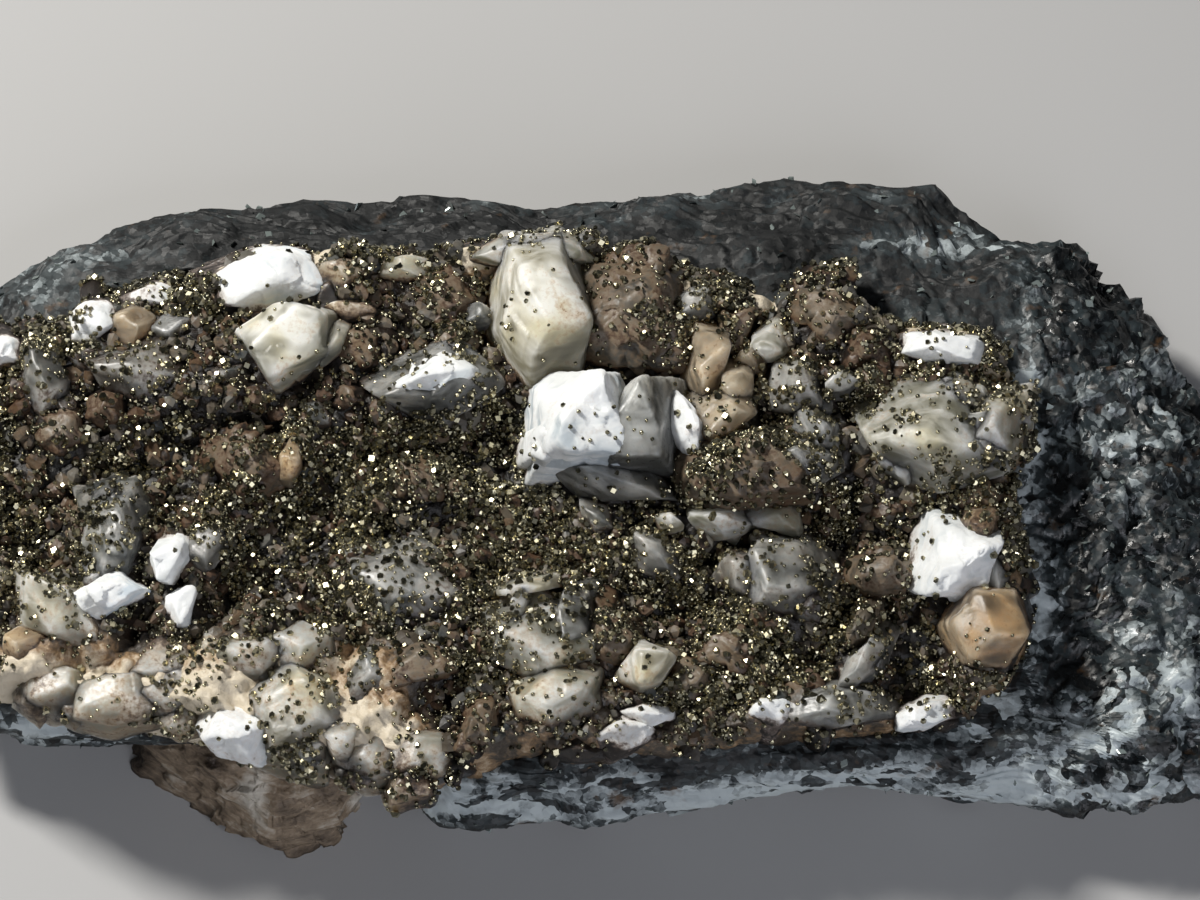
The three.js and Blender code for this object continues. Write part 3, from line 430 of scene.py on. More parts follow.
def gneiss_slab():
    """The broken slab: rings from the summit to the brow and under to the resting face.

    Each ring is the brow outline times a share; its height falls from the plateau to the brow on a
    parabola over the slope's width. The part's lumps move every point, then ledges follow the
    foliation: the height is pulled to the nearest layer, and breaks through long grains roughen it.
    """
    edge = along_outline(BROW, ROCK_COLS)
    reach = np.linalg.norm(edge[:, :2], axis=1)
    ahead = edge[:, :2] / reach[:, None]
    brow = edge[:, 2]
    top = np.concatenate([np.linspace(0.05, 0.5, 6), np.linspace(0.53, 1, 92)])
    under = np.concatenate([
        np.linspace(0.99, 0.945, 14), np.linspace(0.93, 0.8, 22), np.linspace(0.7, 0.1, 4),
    ])
    share = np.concatenate([top, under])[:, None]
    is_top = (np.arange(len(share)) < len(top))[:, None]
    back = smooth(ahead[:, 1] * 1.6 + 0.1)
    end = smooth(ahead[:, 0] * 2 - 0.9)
    width = FRONT_SLOPE_WIDTH + np.maximum(
        (BACK_SLOPE_WIDTH - FRONT_SLOPE_WIDTH) * back, (END_SLOPE_WIDTH - FRONT_SLOPE_WIDTH) * end
    )
    inset = np.clip((1 - share) * reach / width, 0, 1)
    fall = brow + (PLATEAU_HEIGHT - brow) * inset * (2 - inset)
    belly = np.interp(share, [BASE_SHARE, *BELLY_SHARES], [0, *BELLY_HEIGHTS])
    brow_blend = np.clip((share - BELLY_SHARES[-1]) / (1 - BELLY_SHARES[-1]), 0, 1)
    rise = belly + (brow - BELLY_HEIGHTS[-1]) * brow_blend
    height = np.where(is_top, fall, rise)
    ring = (share * reach)[..., None] * ahead
    points = np.concatenate([ring, height[..., None]], -1).reshape(-1, 3)
    points = np.concatenate([[(0, 0, PLATEAU_HEIGHT)], points, [(0, 0, 0)]])
    loose = smooth(points[:, 2] / BELLY_HEIGHTS[0])
    for axis, seed, tall in ((0, 7, 1), (1, 19, 1), (2, 31, 0.7)):
        points[:, axis] += ROCK_LUMP * tall * loose * noise(points, ROCK_LUMP_SIZE, seed)
    triangles = shell_triangles(len(share), ROCK_COLS)
    normal, _ = spread(points, triangles)
    along_layers = points * LAYER_STRETCH
    ledge = points[:, 2] + LAYER_WAVE * layered(along_layers, 4, 3, 3)
    points[:, 2] += loose * LEDGE_SHARE * (np.round(ledge / FOLIATION) * FOLIATION - ledge)
    granular = smooth((points[:, 0] - GRANULAR_START) / GRANULAR_WIDTH)
    plates = broken(along_layers, 2.2, 9, 0.8, 0.3)
    blocks = broken(points, 3.6, 5, 1.2, 0.7)
    fine = broken(points, 1.9, 11, 0.35, 0.5) + 0.1 * layered(points, 1.4, 2, 70)
    fine *= 0.35 + 0.5 * granular
    points += normal * (loose * (plates * (1 - granular) + blocks * granular + fine))[:, None]
    points[:, 2] = np.maximum(points[:, 2], 0)
    return points, triangles, granular


def weathered_spur():
    """The brown spur: the nearest of its face planes along each direction, broken through long grains."""
    rows, cols = 150, 300
    toward = direction_grid(rows, cols)
    slope = SPUR_FACES[:, :3] / np.linalg.norm(SPUR_FACES[:, :3], axis=1)[:, None]
    pull = np.maximum(toward @ (slope / SPUR_FACES[:, 3:]).T, 0)
    closeness = (pull**SPUR_SHARP).sum(axis=1) ** (1 / SPUR_SHARP)
    points = SPUR_MIDDLE + toward / closeness[:, None]
    along_layers = points * LAYER_STRETCH
    rough = 0.6 * layered(along_layers, 1.6, 4, 5) + broken(along_layers, 1.1, 3, 1.5, 0.8)
    points = points + toward * (rough - 0.1)[:, None]
    points[:, 2] = np.maximum(points[:, 2], 0)
    return points, shell_triangles(rows, cols)


def direction_grid(rows, cols):
    """Unit directions over a sphere, a pole to each side, with more rows round the near pole."""
    t = np.arange(1, rows + 1) / (rows + 1)
    polar = (np.pi * (0.62 * t + 0.38 * t**4))[:, None]
    around = np.arange(cols) / cols * 2 * np.pi
    ball = np.stack(
        [np.sin(polar) * np.cos(around), np.sin(polar) * np.sin(around), np.cos(polar) + 0 * around], -1
    )
    return np.concatenate([[(0, 0, 1)], ball.reshape(-1, 3), [(0, 0, -1)]]).astype(float)


# The druse's crust
BED_COLS = 720
BED_RINGS = 122
# The crust's side: share of the rim's outline, and how far down to the underside.
BED_SIDE = np.array([
    (0.99, 0.06), (0.995, 0.14), (0.998, 0.24), (1, 0.36), (1, 0.5), (1, 0.64), (1, 0.78), (1, 0.9),
    (1, 1), (0.985, 1), (0.6, 1), (0.1, 1),
])
FOOT_SHARE = 1.2  # how far up a crystal's middle the crust climbs
FOOT_MOST = 3.4  # but no higher than this
FOOT_WIDTH = 4.0  # how far beyond its outline
SHORE_BACK = -17.0  # the crust is bare cream calcite in front of here
SHORE_END = -14.0  # and left of here
SHORE_BACK_FADE = 7.0  # it gives way to stained crust over these widths
SHORE_END_FADE = 8.0
SHORE_RISE = 1.2
LUMPS = ((2.7, 0.9, 21.0), (1.25, 0.45, 77.0))  # size, height and seed of the crust's rounded lumps
BED_ROUGH = 0.3
BED_SINK = 0.5  # the lumps start this far below the crust's height
WALL_LUMP, WALL_ROUGH, WALL_INSET = 0.7, 0.5, 0.4  # the bulges of the wall at the rim


def crystal_feet(points):
    """How far the crust climbs the crystals: a share of each one's height, eased to 0 beyond its outline."""
    foot = np.zeros(len(points))
    for _, across, up, height, long, wide, _, turn, *_ in CRYSTALS:
        away = points[:, :2] - seen_at(across, up, height)[:2]
        lie = math.radians(turn)
        along = (away[:, 0] * math.cos(lie) + away[:, 1] * math.sin(lie)) / (long / 2)
        aside = (away[:, 1] * math.cos(lie) - away[:, 0] * math.sin(lie)) / (wide / 2)
        beyond = (np.hypot(along, aside) - 1) * math.sqrt(long * wide) / 2
        rise = min(FOOT_SHARE * (height - DRUSE_FLOOR), FOOT_MOST)
        foot = np.maximum(foot, rise * smooth(1 - beyond / FOOT_WIDTH))
    return foot


def shore(points):
    """Share of bare cream calcite: 1 at the druse's front left, eased to 0 behind it and to its right."""
    in_front = smooth((SHORE_BACK - points[:, 1]) / SHORE_BACK_FADE)
    return in_front * smooth((SHORE_END - points[:, 0]) / SHORE_END_FADE)


def bed_height(points):
    """Height of the crust: its lumpy floor, the crystals' feet and the shore, less a bell for each hollow."""
    flat = points * np.array([1, 1, 0])
    height = DRUSE_FLOOR + CRUST_LUMP * noise(flat, CRUST_LUMP_SIZE, 3) + crystal_feet(flat)
    height += SHORE_RISE * shore(flat)
    for across, up, radius, depth in HOLLOWS:
        far = (flat[:, :2] - seen_at(across, up, DRUSE_FLOOR)[:2]) / radius
        height -= depth * np.exp(-(far**2).sum(axis=1))
    return np.maximum(height, PLATEAU_HEIGHT + CRUST_LEAST)


def druse_bed():
    """The crust between the crystals: rings of the druse outline at the crust's height, with rounded lumps.

    At the rim a bulging wall goes down to the underside, which runs back to the middle. Also gives how far
    inside the rim each point is, and the height of the lumps there.
    """
    edge = along_outline(DRUSE_RIM, BED_COLS) - DRUSE_CENTRE
    top = np.linspace(0.012, 0.985, BED_RINGS)
    share = np.concatenate([top, BED_SIDE[:, 0]])
    sink = np.concatenate([[0], np.repeat(np.concatenate([0 * top, BED_SIDE[:, 1]]), BED_COLS), [1]])
    points = np.zeros((len(share) * BED_COLS + 2, 3))
    points[1:-1, :2] = (share[:, None, None] * edge).reshape(-1, 2)
    inside = np.concatenate([[99], ((1 - share[:, None]) * np.linalg.norm(edge, axis=1)).ravel(), [0]])
    points[:, :2] += DRUSE_CENTRE
    lump = sum(high * botryoid(points, size, seed) for size, high, seed in LUMPS)
    height = bed_height(points) + (lump + BED_ROUGH * layered(points, 0.9, 2, 33)) * (sink < 1)
    height = height - BED_SINK
    points[:, 2] = height * (1 - sink) + DRUSE_UNDER * sink
    is_wall = (sink > 0) & (sink < 1)
    wall = points[is_wall]
    bulge = WALL_LUMP * botryoid(wall, 2.2, 9) + WALL_ROUGH * layered(wall, 2.4, 3, 4) - WALL_INSET
    away = wall[:, :2] - DRUSE_CENTRE
    points[is_wall, :2] += away / np.linalg.norm(away, axis=1)[:, None] * bulge[:, None]
    return points, shell_triangles(len(share), BED_COLS), inside, lump


# The crystals. Each finish has its material's name, and:
# tint, milk and warm, the colours of its clear parts, of its milk and of its deeper milk;
# even, how evenly light leaves its faces; veil, where the noise of its veils starts and ends turning milky;
# ochre, the most that ochre covers; gloss, its roughness; scatter and clarity, the shares of light that
# spread inside and pass through; glint and lean, the size and slope of its cleavage glints; sharp, how
# crisp its edges are; rough, the height of its roughness; cell, lift and slope, its broken grains.
FINISHES = {
    "cream": {
        "name": "cream calcite growth faces", "tint": "#8d8a76", "milk": "#e8e7de", "warm": "#d0cab0",
        "even": 0.6, "veil": (0.32, 0.7), "ochre": 0.65, "gloss": 0.28, "scatter": 1.0, "clarity": 0.45,
        "glint": 2.4, "lean": 0.06, "sharp": 24, "rough": 0.03, "cell": 3.8, "lift": 0.06, "slope": 0.1,
    },
    "white": {
        "name": "white fractured calcite", "tint": "#d0d7da", "milk": "#f8fbfc", "warm": "#e9ecec",
        "even": 0.3, "veil": (0.28, 0.5), "ochre": 0.3, "gloss": 0.4, "scatter": 0.15, "clarity": 0.0,
        "glint": 0.8, "lean": 0.3, "sharp": 30, "rough": 0.07, "cell": 2.2, "lift": 0.2, "slope": 0.22,
    },
    "grey": {
        "name": "grey clear calcite", "tint": "#62635f", "milk": "#b9bbb8", "warm": "#a9aaa4",
        "even": 0.6, "veil": (0.36, 0.78), "ochre": 0.15, "gloss": 0.22, "scatter": 1.0, "clarity": 0.55,
        "glint": 2.0, "lean": 0.08, "sharp": 28, "rough": 0.03, "cell": 2.9, "lift": 0.1, "slope": 0.14,
    },
    "honey": {
        "name": "honey calcite", "tint": "#7a6b57", "milk": "#cbbda6", "warm": "#b89c78",
        "even": 0.6, "veil": (0.34, 0.74), "ochre": 0.45, "gloss": 0.26, "scatter": 1.0, "clarity": 0.45,
        "glint": 2.0, "lean": 0.08, "sharp": 28, "rough": 0.03, "cell": 2.7, "lift": 0.08, "slope": 0.12,
    },
    "dusty": {
        "name": "frosted brown calcite", "tint": "#403c35", "milk": "#787267", "warm": "#6b6355",
        "even": 0.4, "veil": (0.4, 0.74), "ochre": 0.2, "gloss": 0.36, "scatter": 0.0, "clarity": 0.0,
        "glint": 1.2, "lean": 0.25, "sharp": 16, "rough": 0.1, "cell": 2.0, "lift": 0.4, "slope": 0.4,
    },
}
GRID_ROWS = 3.9  # rows of points for each millimetre of a crystal's longer side
LEAST_ROWS, MOST_ROWS = 14, 56
MILK_TOWARD_KEY_LIGHT = np.array([-0.5, 0.5, 0.7])  # painted light: crystals are milkier, so lighter, on the side towards the key light and clearer away from it
PAINTED_LIGHT_SHARE = 0.1
FACE_SHARE = 0.14  # how much clearer or milkier one face is than another
PAINTED_EDGE_HIGHLIGHT = 0.08  # painted highlight: edges are made milkier, so lighter, as if light leaves the crystal there
EDGE_WIDTH = 0.05
CORE_SHARE = 0.16  # crystals are milky in the middle and clear round their edge
CORE_WIDTH = 0.7
WARP = 0.05  # how far a crystal's faces are bent
CHIPS = 7  # corners broken off each
CHIP_REACH = (1.0, 1.3)  # how far out they are broken off
SCARS = 3  # broken hollows in each
SCAR_DEPTH = 0.05
SCAR_WIDTH = 0.05
SCAR_FACING = 0.3  # scars lie on the near side
POSE_LEAN = 0.5  # how far a crystal leans, in radians
SATELLITES = 4  # smaller crystals round the foot of each
CLEAN_DUST = 0.06  # crystals with less pyrite than this stand alone
SATELLITE_HOST = 4.5  # and so do crystals shorter than this


def turned(axis, angle):
    """Rotation by an angle about one of the three axes."""
    i, j = [k for k in range(3) if k != axis]
    matrix = np.eye(3)
    matrix[i, i] = matrix[j, j] = math.cos(angle)
    matrix[i, j] = math.sin(angle) * (-1 if axis != 1 else 1)
    matrix[j, i] = -matrix[i, j]
    return matrix


def crystal(row, number):
    """One crystal: along each direction the nearest of its face planes, blended softly at the edges.

    In its own box every face is a slope with distance 1, moved a little by a hashed jitter; the root face
    is as far down as the crust's floor, and chipped corners are planes of their own. Noise bends the
    directions, scars dent the near side, and breaks through grains roughen it. The box is scaled to the
    crystal's size, turned and put in place. Its milk is thicker in the core and on some faces; it is also
    thicker on the side towards the key light and on its edges, painted light that makes those lighter.
    """
    _, across, up, height, long, wide, deep, turn, habit, finish, _, _ = row
    look = FINISHES[finish]
    half = np.array([long, wide, deep]) / 2
    slope = np.array(HABITS[habit], float)
    faces = np.column_stack([np.full(len(slope), number), np.arange(len(slope)), np.full(len(slope), 9)])
    distance = 1 + FACE_JITTER * (hashed(faces) - 0.5)
    distance[-1] = (height - DRUSE_FLOOR + ROOT_DEPTH) / math.sin(VIEW_ELEVATION) / half[2]
    rows = int(np.clip(max(long, wide) * GRID_ROWS, LEAST_ROWS, MOST_ROWS))
    toward = direction_grid(rows, 2 * rows)
    bent = toward + WARP * np.stack([noise(toward, 0.8, number + seed) for seed in (11, 23, 37)], -1)
    sharp = look["sharp"]
    own = np.random.default_rng(number)
    chip = own.normal(size=(CHIPS, 3))
    chip[:, 2] = np.abs(chip[:, 2])
    chip /= np.linalg.norm(chip, axis=1)[:, None] * own.uniform(*CHIP_REACH, (CHIPS, 1))
    planes = np.concatenate([slope / distance[:, None], chip])
    pull = np.maximum(bent @ planes.T, 0)
    closeness = (pull**sharp).sum(axis=1) ** (1 / sharp)
    ranked = np.sort(pull, axis=1)
    edge = np.exp(-(((1 - ranked[:, -2] / ranked[:, -1]) / EDGE_WIDTH) ** 2))
    face = own.uniform(-0.5, 0.5, len(planes))[pull.argmax(axis=1)]
    scar = own.normal(size=(SCARS, 3))
    scar[:, 2] = SCAR_FACING + np.abs(scar[:, 2])
    nearness = toward @ (scar / np.linalg.norm(scar, axis=1)[:, None]).T
    dent = 1 - SCAR_DEPTH * np.exp(-(1 - nearness) / SCAR_WIDTH).max(axis=1)
    lean = hashed(np.array([[number, 1, 5], [number, 2, 5]])) - 0.5
    pose = np.column_stack([VIEW_RIGHT, VIEW_UP, VIEW_NEAR]) @ turned(2, math.radians(turn))
    pose = pose @ turned(0, lean[0] * POSE_LEAN) @ turned(1, lean[1] * POSE_LEAN)
    box = toward * (dent / closeness)[:, None]
    core = smooth((1 - np.hypot(box[:, 0], box[:, 1])) / CORE_WIDTH)
    points = seen_at(across, up, height) + (box * half) @ pose.T
    rough = look["rough"] * layered(points, 1.3, 3, number)
    rough += broken(points, look["cell"], number * 1.7, look["lift"], look["slope"])
    outward = toward @ pose.T
    # painted light: the side towards the key light and the edges are made milkier, so lighter; the core and
    # some faces are milkier in the crystal itself
    milk = PAINTED_LIGHT_SHARE * outward @ MILK_TOWARD_KEY_LIGHT + CORE_SHARE * (core - 0.5)
    milk = milk + FACE_SHARE * face + PAINTED_EDGE_HIGHLIGHT * edge
    return points + outward * rough[:, None], shell_triangles(rows, 2 * rows), milk


def with_satellites(rows):
    """The crystals and, round the edge of each dusted one, smaller ones of its finish grown against it."""
    grown = list(rows)
    for name, across, up, height, long, wide, deep, turn, habit, finish, dust, stain in rows:
        if dust < CLEAN_DUST or max(long, wide) < SATELLITE_HOST:
            continue
        for _ in range(SATELLITES):
            angle, reach, share = CHANCE.uniform((0, 0.55, 0.3), (2 * math.pi, 1.0, 0.62))
            along, aside = reach * long / 2 * math.cos(angle), reach * wide / 2 * math.sin(angle)
            lie = math.radians(turn)
            spot_across = across + along * math.cos(lie) - aside * math.sin(lie)
            spot_up = up + along * math.sin(lie) + aside * math.cos(lie)
            size = share * min(long, wide) * CHANCE.uniform(0.85, 1.3, 3)
            low = height - CHANCE.uniform(-0.1, 0.4) * (height - DRUSE_FLOOR)
            spin = CHANCE.uniform(0, 180)
            shape = ("rhomb", "block", "lump")[CHANCE.integers(3)]
            more = min(1, dust + 0.15), min(1, stain + CHANCE.uniform(0, 0.3))
            grown.append((name, spot_across, spot_up, low, *size, spin, shape, finish, *more))
    return grown


# Small repeated shapes
def cut_cube():
    """A cube with its corners cut to the middle of its edges: 12 points, 8 small faces and 6 squares."""
    axis = np.eye(3)
    signs = np.array(list(np.ndindex(2, 2, 2))) * 2 - 1
    corners = [[s * (axis[i] + axis[j]) for i, j in ((0, 1), (1, 2), (2, 0))] for s in signs]
    squares = []
    for k in range(3):
        u, v = axis[(k + 1) % 3], axis[(k + 2) % 3]
        for side in (axis[k], -axis[k]):
            squares += [[side + u, side + v, side - u], [side + u, side - u, side - v]]
    faces = np.array(corners + squares, float)
    points, index = np.unique(faces.reshape(-1, 3).round(6), axis=0, return_inverse=True)
    triangles = index.reshape(-1, 3)
    facing = np.cross(faces[:, 1] - faces[:, 0], faces[:, 2] - faces[:, 0])
    inward = np.einsum("ij,ij->i", facing, faces.sum(1)) < 0
    triangles[inward] = triangles[inward][:, ::-1]
    return points / 2, triangles


def small_rhomb():
    """A small crystal: a ball of 4 by 8 points flattened along the slopes of a rhomb."""
    toward = direction_grid(4, 8)
    slope = np.array(HABITS["rhomb"], float)
    closeness = (np.maximum(toward @ slope.T, 0) ** 12).sum(axis=1) ** (1 / 12)
    return toward / closeness[:, None] / 2, shell_triangles(4, 8)


def skewed_cube():
    """A cleavage flake: a cube sheared to slanted angles, two triangles a side."""
    points = np.array(list(np.ndindex(2, 2, 2)), float) - 0.5
    quads = np.array([(0, 1, 3, 2), (4, 6, 7, 5), (0, 4, 5, 1), (2, 3, 7, 6), (0, 2, 6, 4), (1, 5, 7, 3)])
    shear = np.array([(1, 0.22, 0.22), (0, 0.97, 0.2), (0, 0, 0.95)])
    return points @ shear.T, np.concatenate([quads[:, [0, 1, 2]], quads[:, [0, 2, 3]]])


def scattered(template, places, sizes):
    """The template copied to each place, scaled and turned at random by a unit quaternion's matrix."""
    shape, faces = template
    spin = CHANCE.normal(size=(4, len(places)))
    w, x, y, z = spin / np.linalg.norm(spin, axis=0)
    matrix = np.array([
        [1 - 2 * (y * y + z * z), 2 * (x * y - z * w), 2 * (x * z + y * w)],
        [2 * (x * y + z * w), 1 - 2 * (x * x + z * z), 2 * (y * z - x * w)],
        [2 * (x * z - y * w), 2 * (y * z + x * w), 1 - 2 * (x * x + y * y)],
    ])
    points = places[:, None] + np.einsum("abn,npb->npa", matrix, shape * sizes[:, None])
    triangles = faces + len(shape) * np.arange(len(places))[:, None, None]
    return points.reshape(-1, 3), triangles.reshape(-1, 3)


OPEN_TILTS = (-25, 5, 35)  # degrees from straight above
OPEN_CELL = 0.5


def in_the_open(points, slack):
    """True where nothing stands over a point: it is near the top of its cell in one of three views."""
    is_open = np.zeros(len(points), bool)
    for tilt in OPEN_TILTS:
        near = turned(0, math.radians(tilt)) @ np.array([0, 0, 1.0])
        side = np.cross(near, VIEW_RIGHT)
        cell = np.stack([points @ VIEW_RIGHT, points @ side], -1) / OPEN_CELL
        column = (cell - cell.min(axis=0)).astype(int)
        key = column[:, 0] * (column[:, 1].max() + 1) + column[:, 1]
        depth = points @ near
        highest = np.full(key.max() + 1, -np.inf)
        np.maximum.at(highest, key, depth)
        is_open |= depth > highest[key] - slack
    return is_open


# Materials
def linear(code):
    """A linear colour from an sRGB hex value."""
    part = np.array([int(code[k : k + 2], 16) for k in (1, 3, 5)]) / 255
    return (*np.where(part <= 0.04045, part / 12.92, ((part + 0.055) / 1.055) ** 2.4), 1.0)


def add(tree, kind, inputs=(), **settings):
    """A node with its settings, and its sockets set to a value or linked to another node's socket."""
    made = tree.nodes.new("ShaderNode" + kind)
    for key, value in settings.items():
        setattr(made, key, value)
    for key, value in dict(inputs).items():
        if isinstance(value, bpy.types.NodeSocket):
            tree.links.new(value, made.inputs[key])
        else:
            made.inputs[key].default_value = value
    return made.outputs


def new_material(name):
    """A material with an empty node tree."""
    material = bpy.data.materials.new(name)
    material.use_nodes = True
    material.node_tree.nodes.clear()
    return material, material.node_tree


MIX_FACTOR, MIX_A, MIX_B, MIX_RESULT = 0, 6, 7, 2
NUMBER_A, NUMBER_B = 2, 3
SKY = (-0.25, 0.1, 0.96)  # where most light comes from


def blended(tree, factor, first, second):
    """A colour between two, each a hex value or a socket."""
    ends = [linear(end) if isinstance(end, str) else end for end in (first, second)]
    sockets = {MIX_FACTOR: factor, MIX_A: ends[0], MIX_B: ends[1]}
    return add(tree, "Mix", sockets, data_type="RGBA")[MIX_RESULT]


def facet_normal(tree, place, size, lean, normal):
    """A normal that leans its own way in every grain of this size, so that each grain glints by itself."""
    cell = add(tree, "TexVoronoi", {"Vector": place, "Scale": 1 / (size * MM)})["Color"]
    centred = add(tree, "VectorMath", {0: cell, 1: (0.5, 0.5, 0.5)}, operation="SUBTRACT")[0]
    slant = add(tree, "VectorMath", {0: centred, "Scale": lean}, operation="SCALE")[0]
    total = add(tree, "VectorMath", {0: normal, 1: slant}, operation="ADD")[0]
    return add(tree, "VectorMath", {0: total}, operation="NORMALIZE")[0]


def evened(tree, normal, share):
    """A normal part of the way to the sky: light that has wandered inside leaves all faces much alike."""
    rest = add(tree, "VectorMath", {0: normal, "Scale": 1 - share}, operation="SCALE")[0]
    sky = tuple(share * part for part in SKY)
    total = add(tree, "VectorMath", {0: rest, 1: sky}, operation="ADD")[0]
    return add(tree, "VectorMath", {0: total}, operation="NORMALIZE")[0]


def wavy(tree, place, size, reach):
    """A place moved by noise of this size, so that the cells drawn there have wavy edges."""
    wave = add(tree, "TexNoise", {"Vector": place, "Scale": 1 / (size * MM), "Detail": 3})["Color"]
    move = add(tree, "VectorMath", {0: wave, "Scale": reach * MM}, operation="SCALE")[0]
    return add(tree, "VectorMath", {0: place, 1: move}, operation="ADD")[0]


def mottle(tree, place, size, detail, rough=0.5):
    """Noise from 0 to 1, with patches of this size in millimetres."""
    sockets = {"Vector": place, "Scale": 1 / (size * MM), "Detail": detail, "Roughness": rough}
    return add(tree, "TexNoise", sockets)["Fac"]


def stretched(tree, place, sizes, turn=(0, 0, 0)):
    """Coordinates that count one for each of these sizes in millimetres along the axes."""
    sockets = {"Vector": place, "Rotation": turn, "Scale": tuple(1 / (size * MM) for size in sizes)}
    return add(tree, "Mapping", sockets)[0]


def ramp(tree, value, start, end, most=1.0):
    """A number that climbs from 0 to its most as the value goes from start to end."""
    return add(tree, "MapRange", {"Value": value, "From Min": start, "From Max": end, "To Max": most})[0]


def between(tree, value, first, last):
    """A number that goes from first to last as the value goes from 0 to 1."""
    return add(tree, "MapRange", {"Value": value, "To Min": first, "To Max": last})[0]


def summed(tree, value, share, rest):
    """A share of a value, added to the rest."""
    return add(tree, "Math", {0: value, 1: share, 2: rest}, operation="MULTIPLY_ADD")[0]


def painted(tree, key):
    """The number that a piece holds at each of its points under this name."""
    return add(tree, "Attribute", attribute_name=key)["Fac"]


def surfaced(material, tree, sockets):
    """The material, with a shader of these sockets as its surface."""
    shader = add(tree, "BsdfPrincipled", sockets)
    add(tree, "OutputMaterial", {"Surface": shader[0]})
    return material


CHIP_SIZE = 0.75  # chips on the rock's break


def gneiss_material():
    """Gneiss, broken across its layers: dark mica and pale quartz in lenses, glassy with silky glints."""
    material, tree = new_material("broken foliated gneiss")
    place = add(tree, "TexCoord")["Object"]
    granular = painted(tree, "granular")
    bent = wavy(tree, place, 4, 4)
    lens_place = stretched(tree, bent, (3.6, 2.4, 1.1))
    lens = add(tree, "TexVoronoi", {"Vector": lens_place, "Scale": 1})["Color"]
    grain = add(tree, "TexVoronoi", {"Vector": bent, "Scale": 1 / (2 * MM)})["Color"]
    lens_tone = add(tree, "SeparateColor", {0: lens})[0]
    grain_tone = add(tree, "SeparateColor", {0: grain})[0]
    cell = add(tree, "Mix", {MIX_FACTOR: granular, NUMBER_A: lens_tone, NUMBER_B: grain_tone})[0]
    ragged = wavy(tree, place, 0.8, 0.8)
    chip_colour = add(tree, "TexVoronoi", {"Vector": ragged, "Scale": 1 / (CHIP_SIZE * MM)})["Color"]
    chip = add(tree, "SeparateColor", {0: chip_colour})
    fine = mottle(tree, place, 0.5, 5, 0.7)
    patch = mottle(tree, place, 9, 4, 0.6)
    in_patches = summed(tree, cell, 0.5, patch)
    in_chips = summed(tree, chip[0], 0.45, in_patches)
    speckled = summed(tree, fine, 0.5, in_chips)
    spot_share = summed(tree, cell, 1.2, 0.2)
    # the spots add pale and dark tone: quartz and mica, and partly painted light on the front strip and
    # painted shade on the back ledge
    tone = summed(tree, painted(tree, "pale"), spot_share, speckled)
    rock = blended(tree, ramp(tree, tone, 1.05, 1.4), "#0c0f11", "#363e41")
    quartz = blended(tree, ramp(tree, tone, 1.45, 1.9), rock, "#c0cacd")
    rust = ramp(tree, mottle(tree, place, 3.5, 3, 0.6), 0.63, 0.74, 0.6)
    silky = between(tree, chip[1], 0.5, 0.75)
    glassy = between(tree, chip[1], 0.14, 0.6)
    gloss = add(tree, "Mix", {MIX_FACTOR: granular, NUMBER_A: silky, NUMBER_B: glassy})[0]
    bump = add(tree, "Bump", {"Height": tone, "Strength": 0.4, "Distance": 0.3 * MM})[0]
    return surfaced(material, tree, {
        "Base Color": blended(tree, rust, quartz, "#6e5236"),
        "Roughness": gloss,
        "IOR": 1.54,
        "Normal": facet_normal(tree, ragged, CHIP_SIZE, 0.4, bump),
    })


def spur_material():
    """Weathered gneiss: iron from the rock has turned its skin brown and earthy, with mica showing."""
    material, tree = new_material("weathered gneiss")
    place = add(tree, "TexCoord")["Object"]
    patch = mottle(tree, place, 5, 6, 0.65)
    layers = stretched(tree, place, (3, 3, 0.6))
    grain = add(tree, "TexNoise", {"Vector": layers, "Scale": 1, "Detail": 6, "Roughness": 0.7})["Fac"]
    skin = add(tree, "Math", {0: patch, 1: grain}, operation="ADD")[0]
    tone = summed(tree, painted(tree, "pale"), 0.9, skin)
    rock = blended(tree, ramp(tree, tone, 0.8, 1.15), "#3b2f26", "#a08d77")
    bump = add(tree, "Bump", {"Height": tone, "Strength": 0.9, "Distance": 0.5 * MM})[0]
    return surfaced(material, tree, {
        "Base Color": blended(tree, ramp(tree, tone, 1.14, 1.45), rock, "#e2dbce"),
        "Roughness": 0.5,
        "Normal": facet_normal(tree, place, 1.0, 0.4, bump),
    })


def crust_material():
    """Calcite crust: near black in the hollows, iron stain and painted shade in the recesses alike; rust on
    the lumps, cream calcite left at the rim.
    """
    material, tree = new_material("calcite crust, iron stain and painted shade")
    place = add(tree, "TexCoord")["Object"]
    patch = mottle(tree, place, 3.5, 5, 0.65)
    grain = mottle(tree, place, 0.6, 4, 0.7)
    lit = add(tree, "Math", {0: painted(tree, "light"), 1: patch}, operation="ADD")[0]
    tone = summed(tree, grain, 0.6, lit)
    # painted shade and stain: the darkest tones, where the crust lies low away from lumps, rim and crystal
    # feet, stand partly for shade in the recesses as well as iron stain
    stain = blended(tree, ramp(tree, tone, 0.85, 1.25), "#0a0807", "#281e17")
    brown = blended(tree, ramp(tree, tone, 1.25, 1.7), stain, "#5d554a")
    ochre = blended(tree, ramp(tree, tone, 1.5, 1.75), brown, "#9c7d5a")
    bump = add(tree, "Bump", {"Height": grain, "Strength": 0.7, "Distance": 0.25 * MM})[0]
    return surfaced(material, tree, {
        "Base Color": blended(tree, ramp(tree, tone, 1.68, 1.95), ochre, "#d8ccb6"),
        "Roughness": 0.4,
        "Normal": facet_normal(tree, place, 0.9, 0.35, bump),
    })


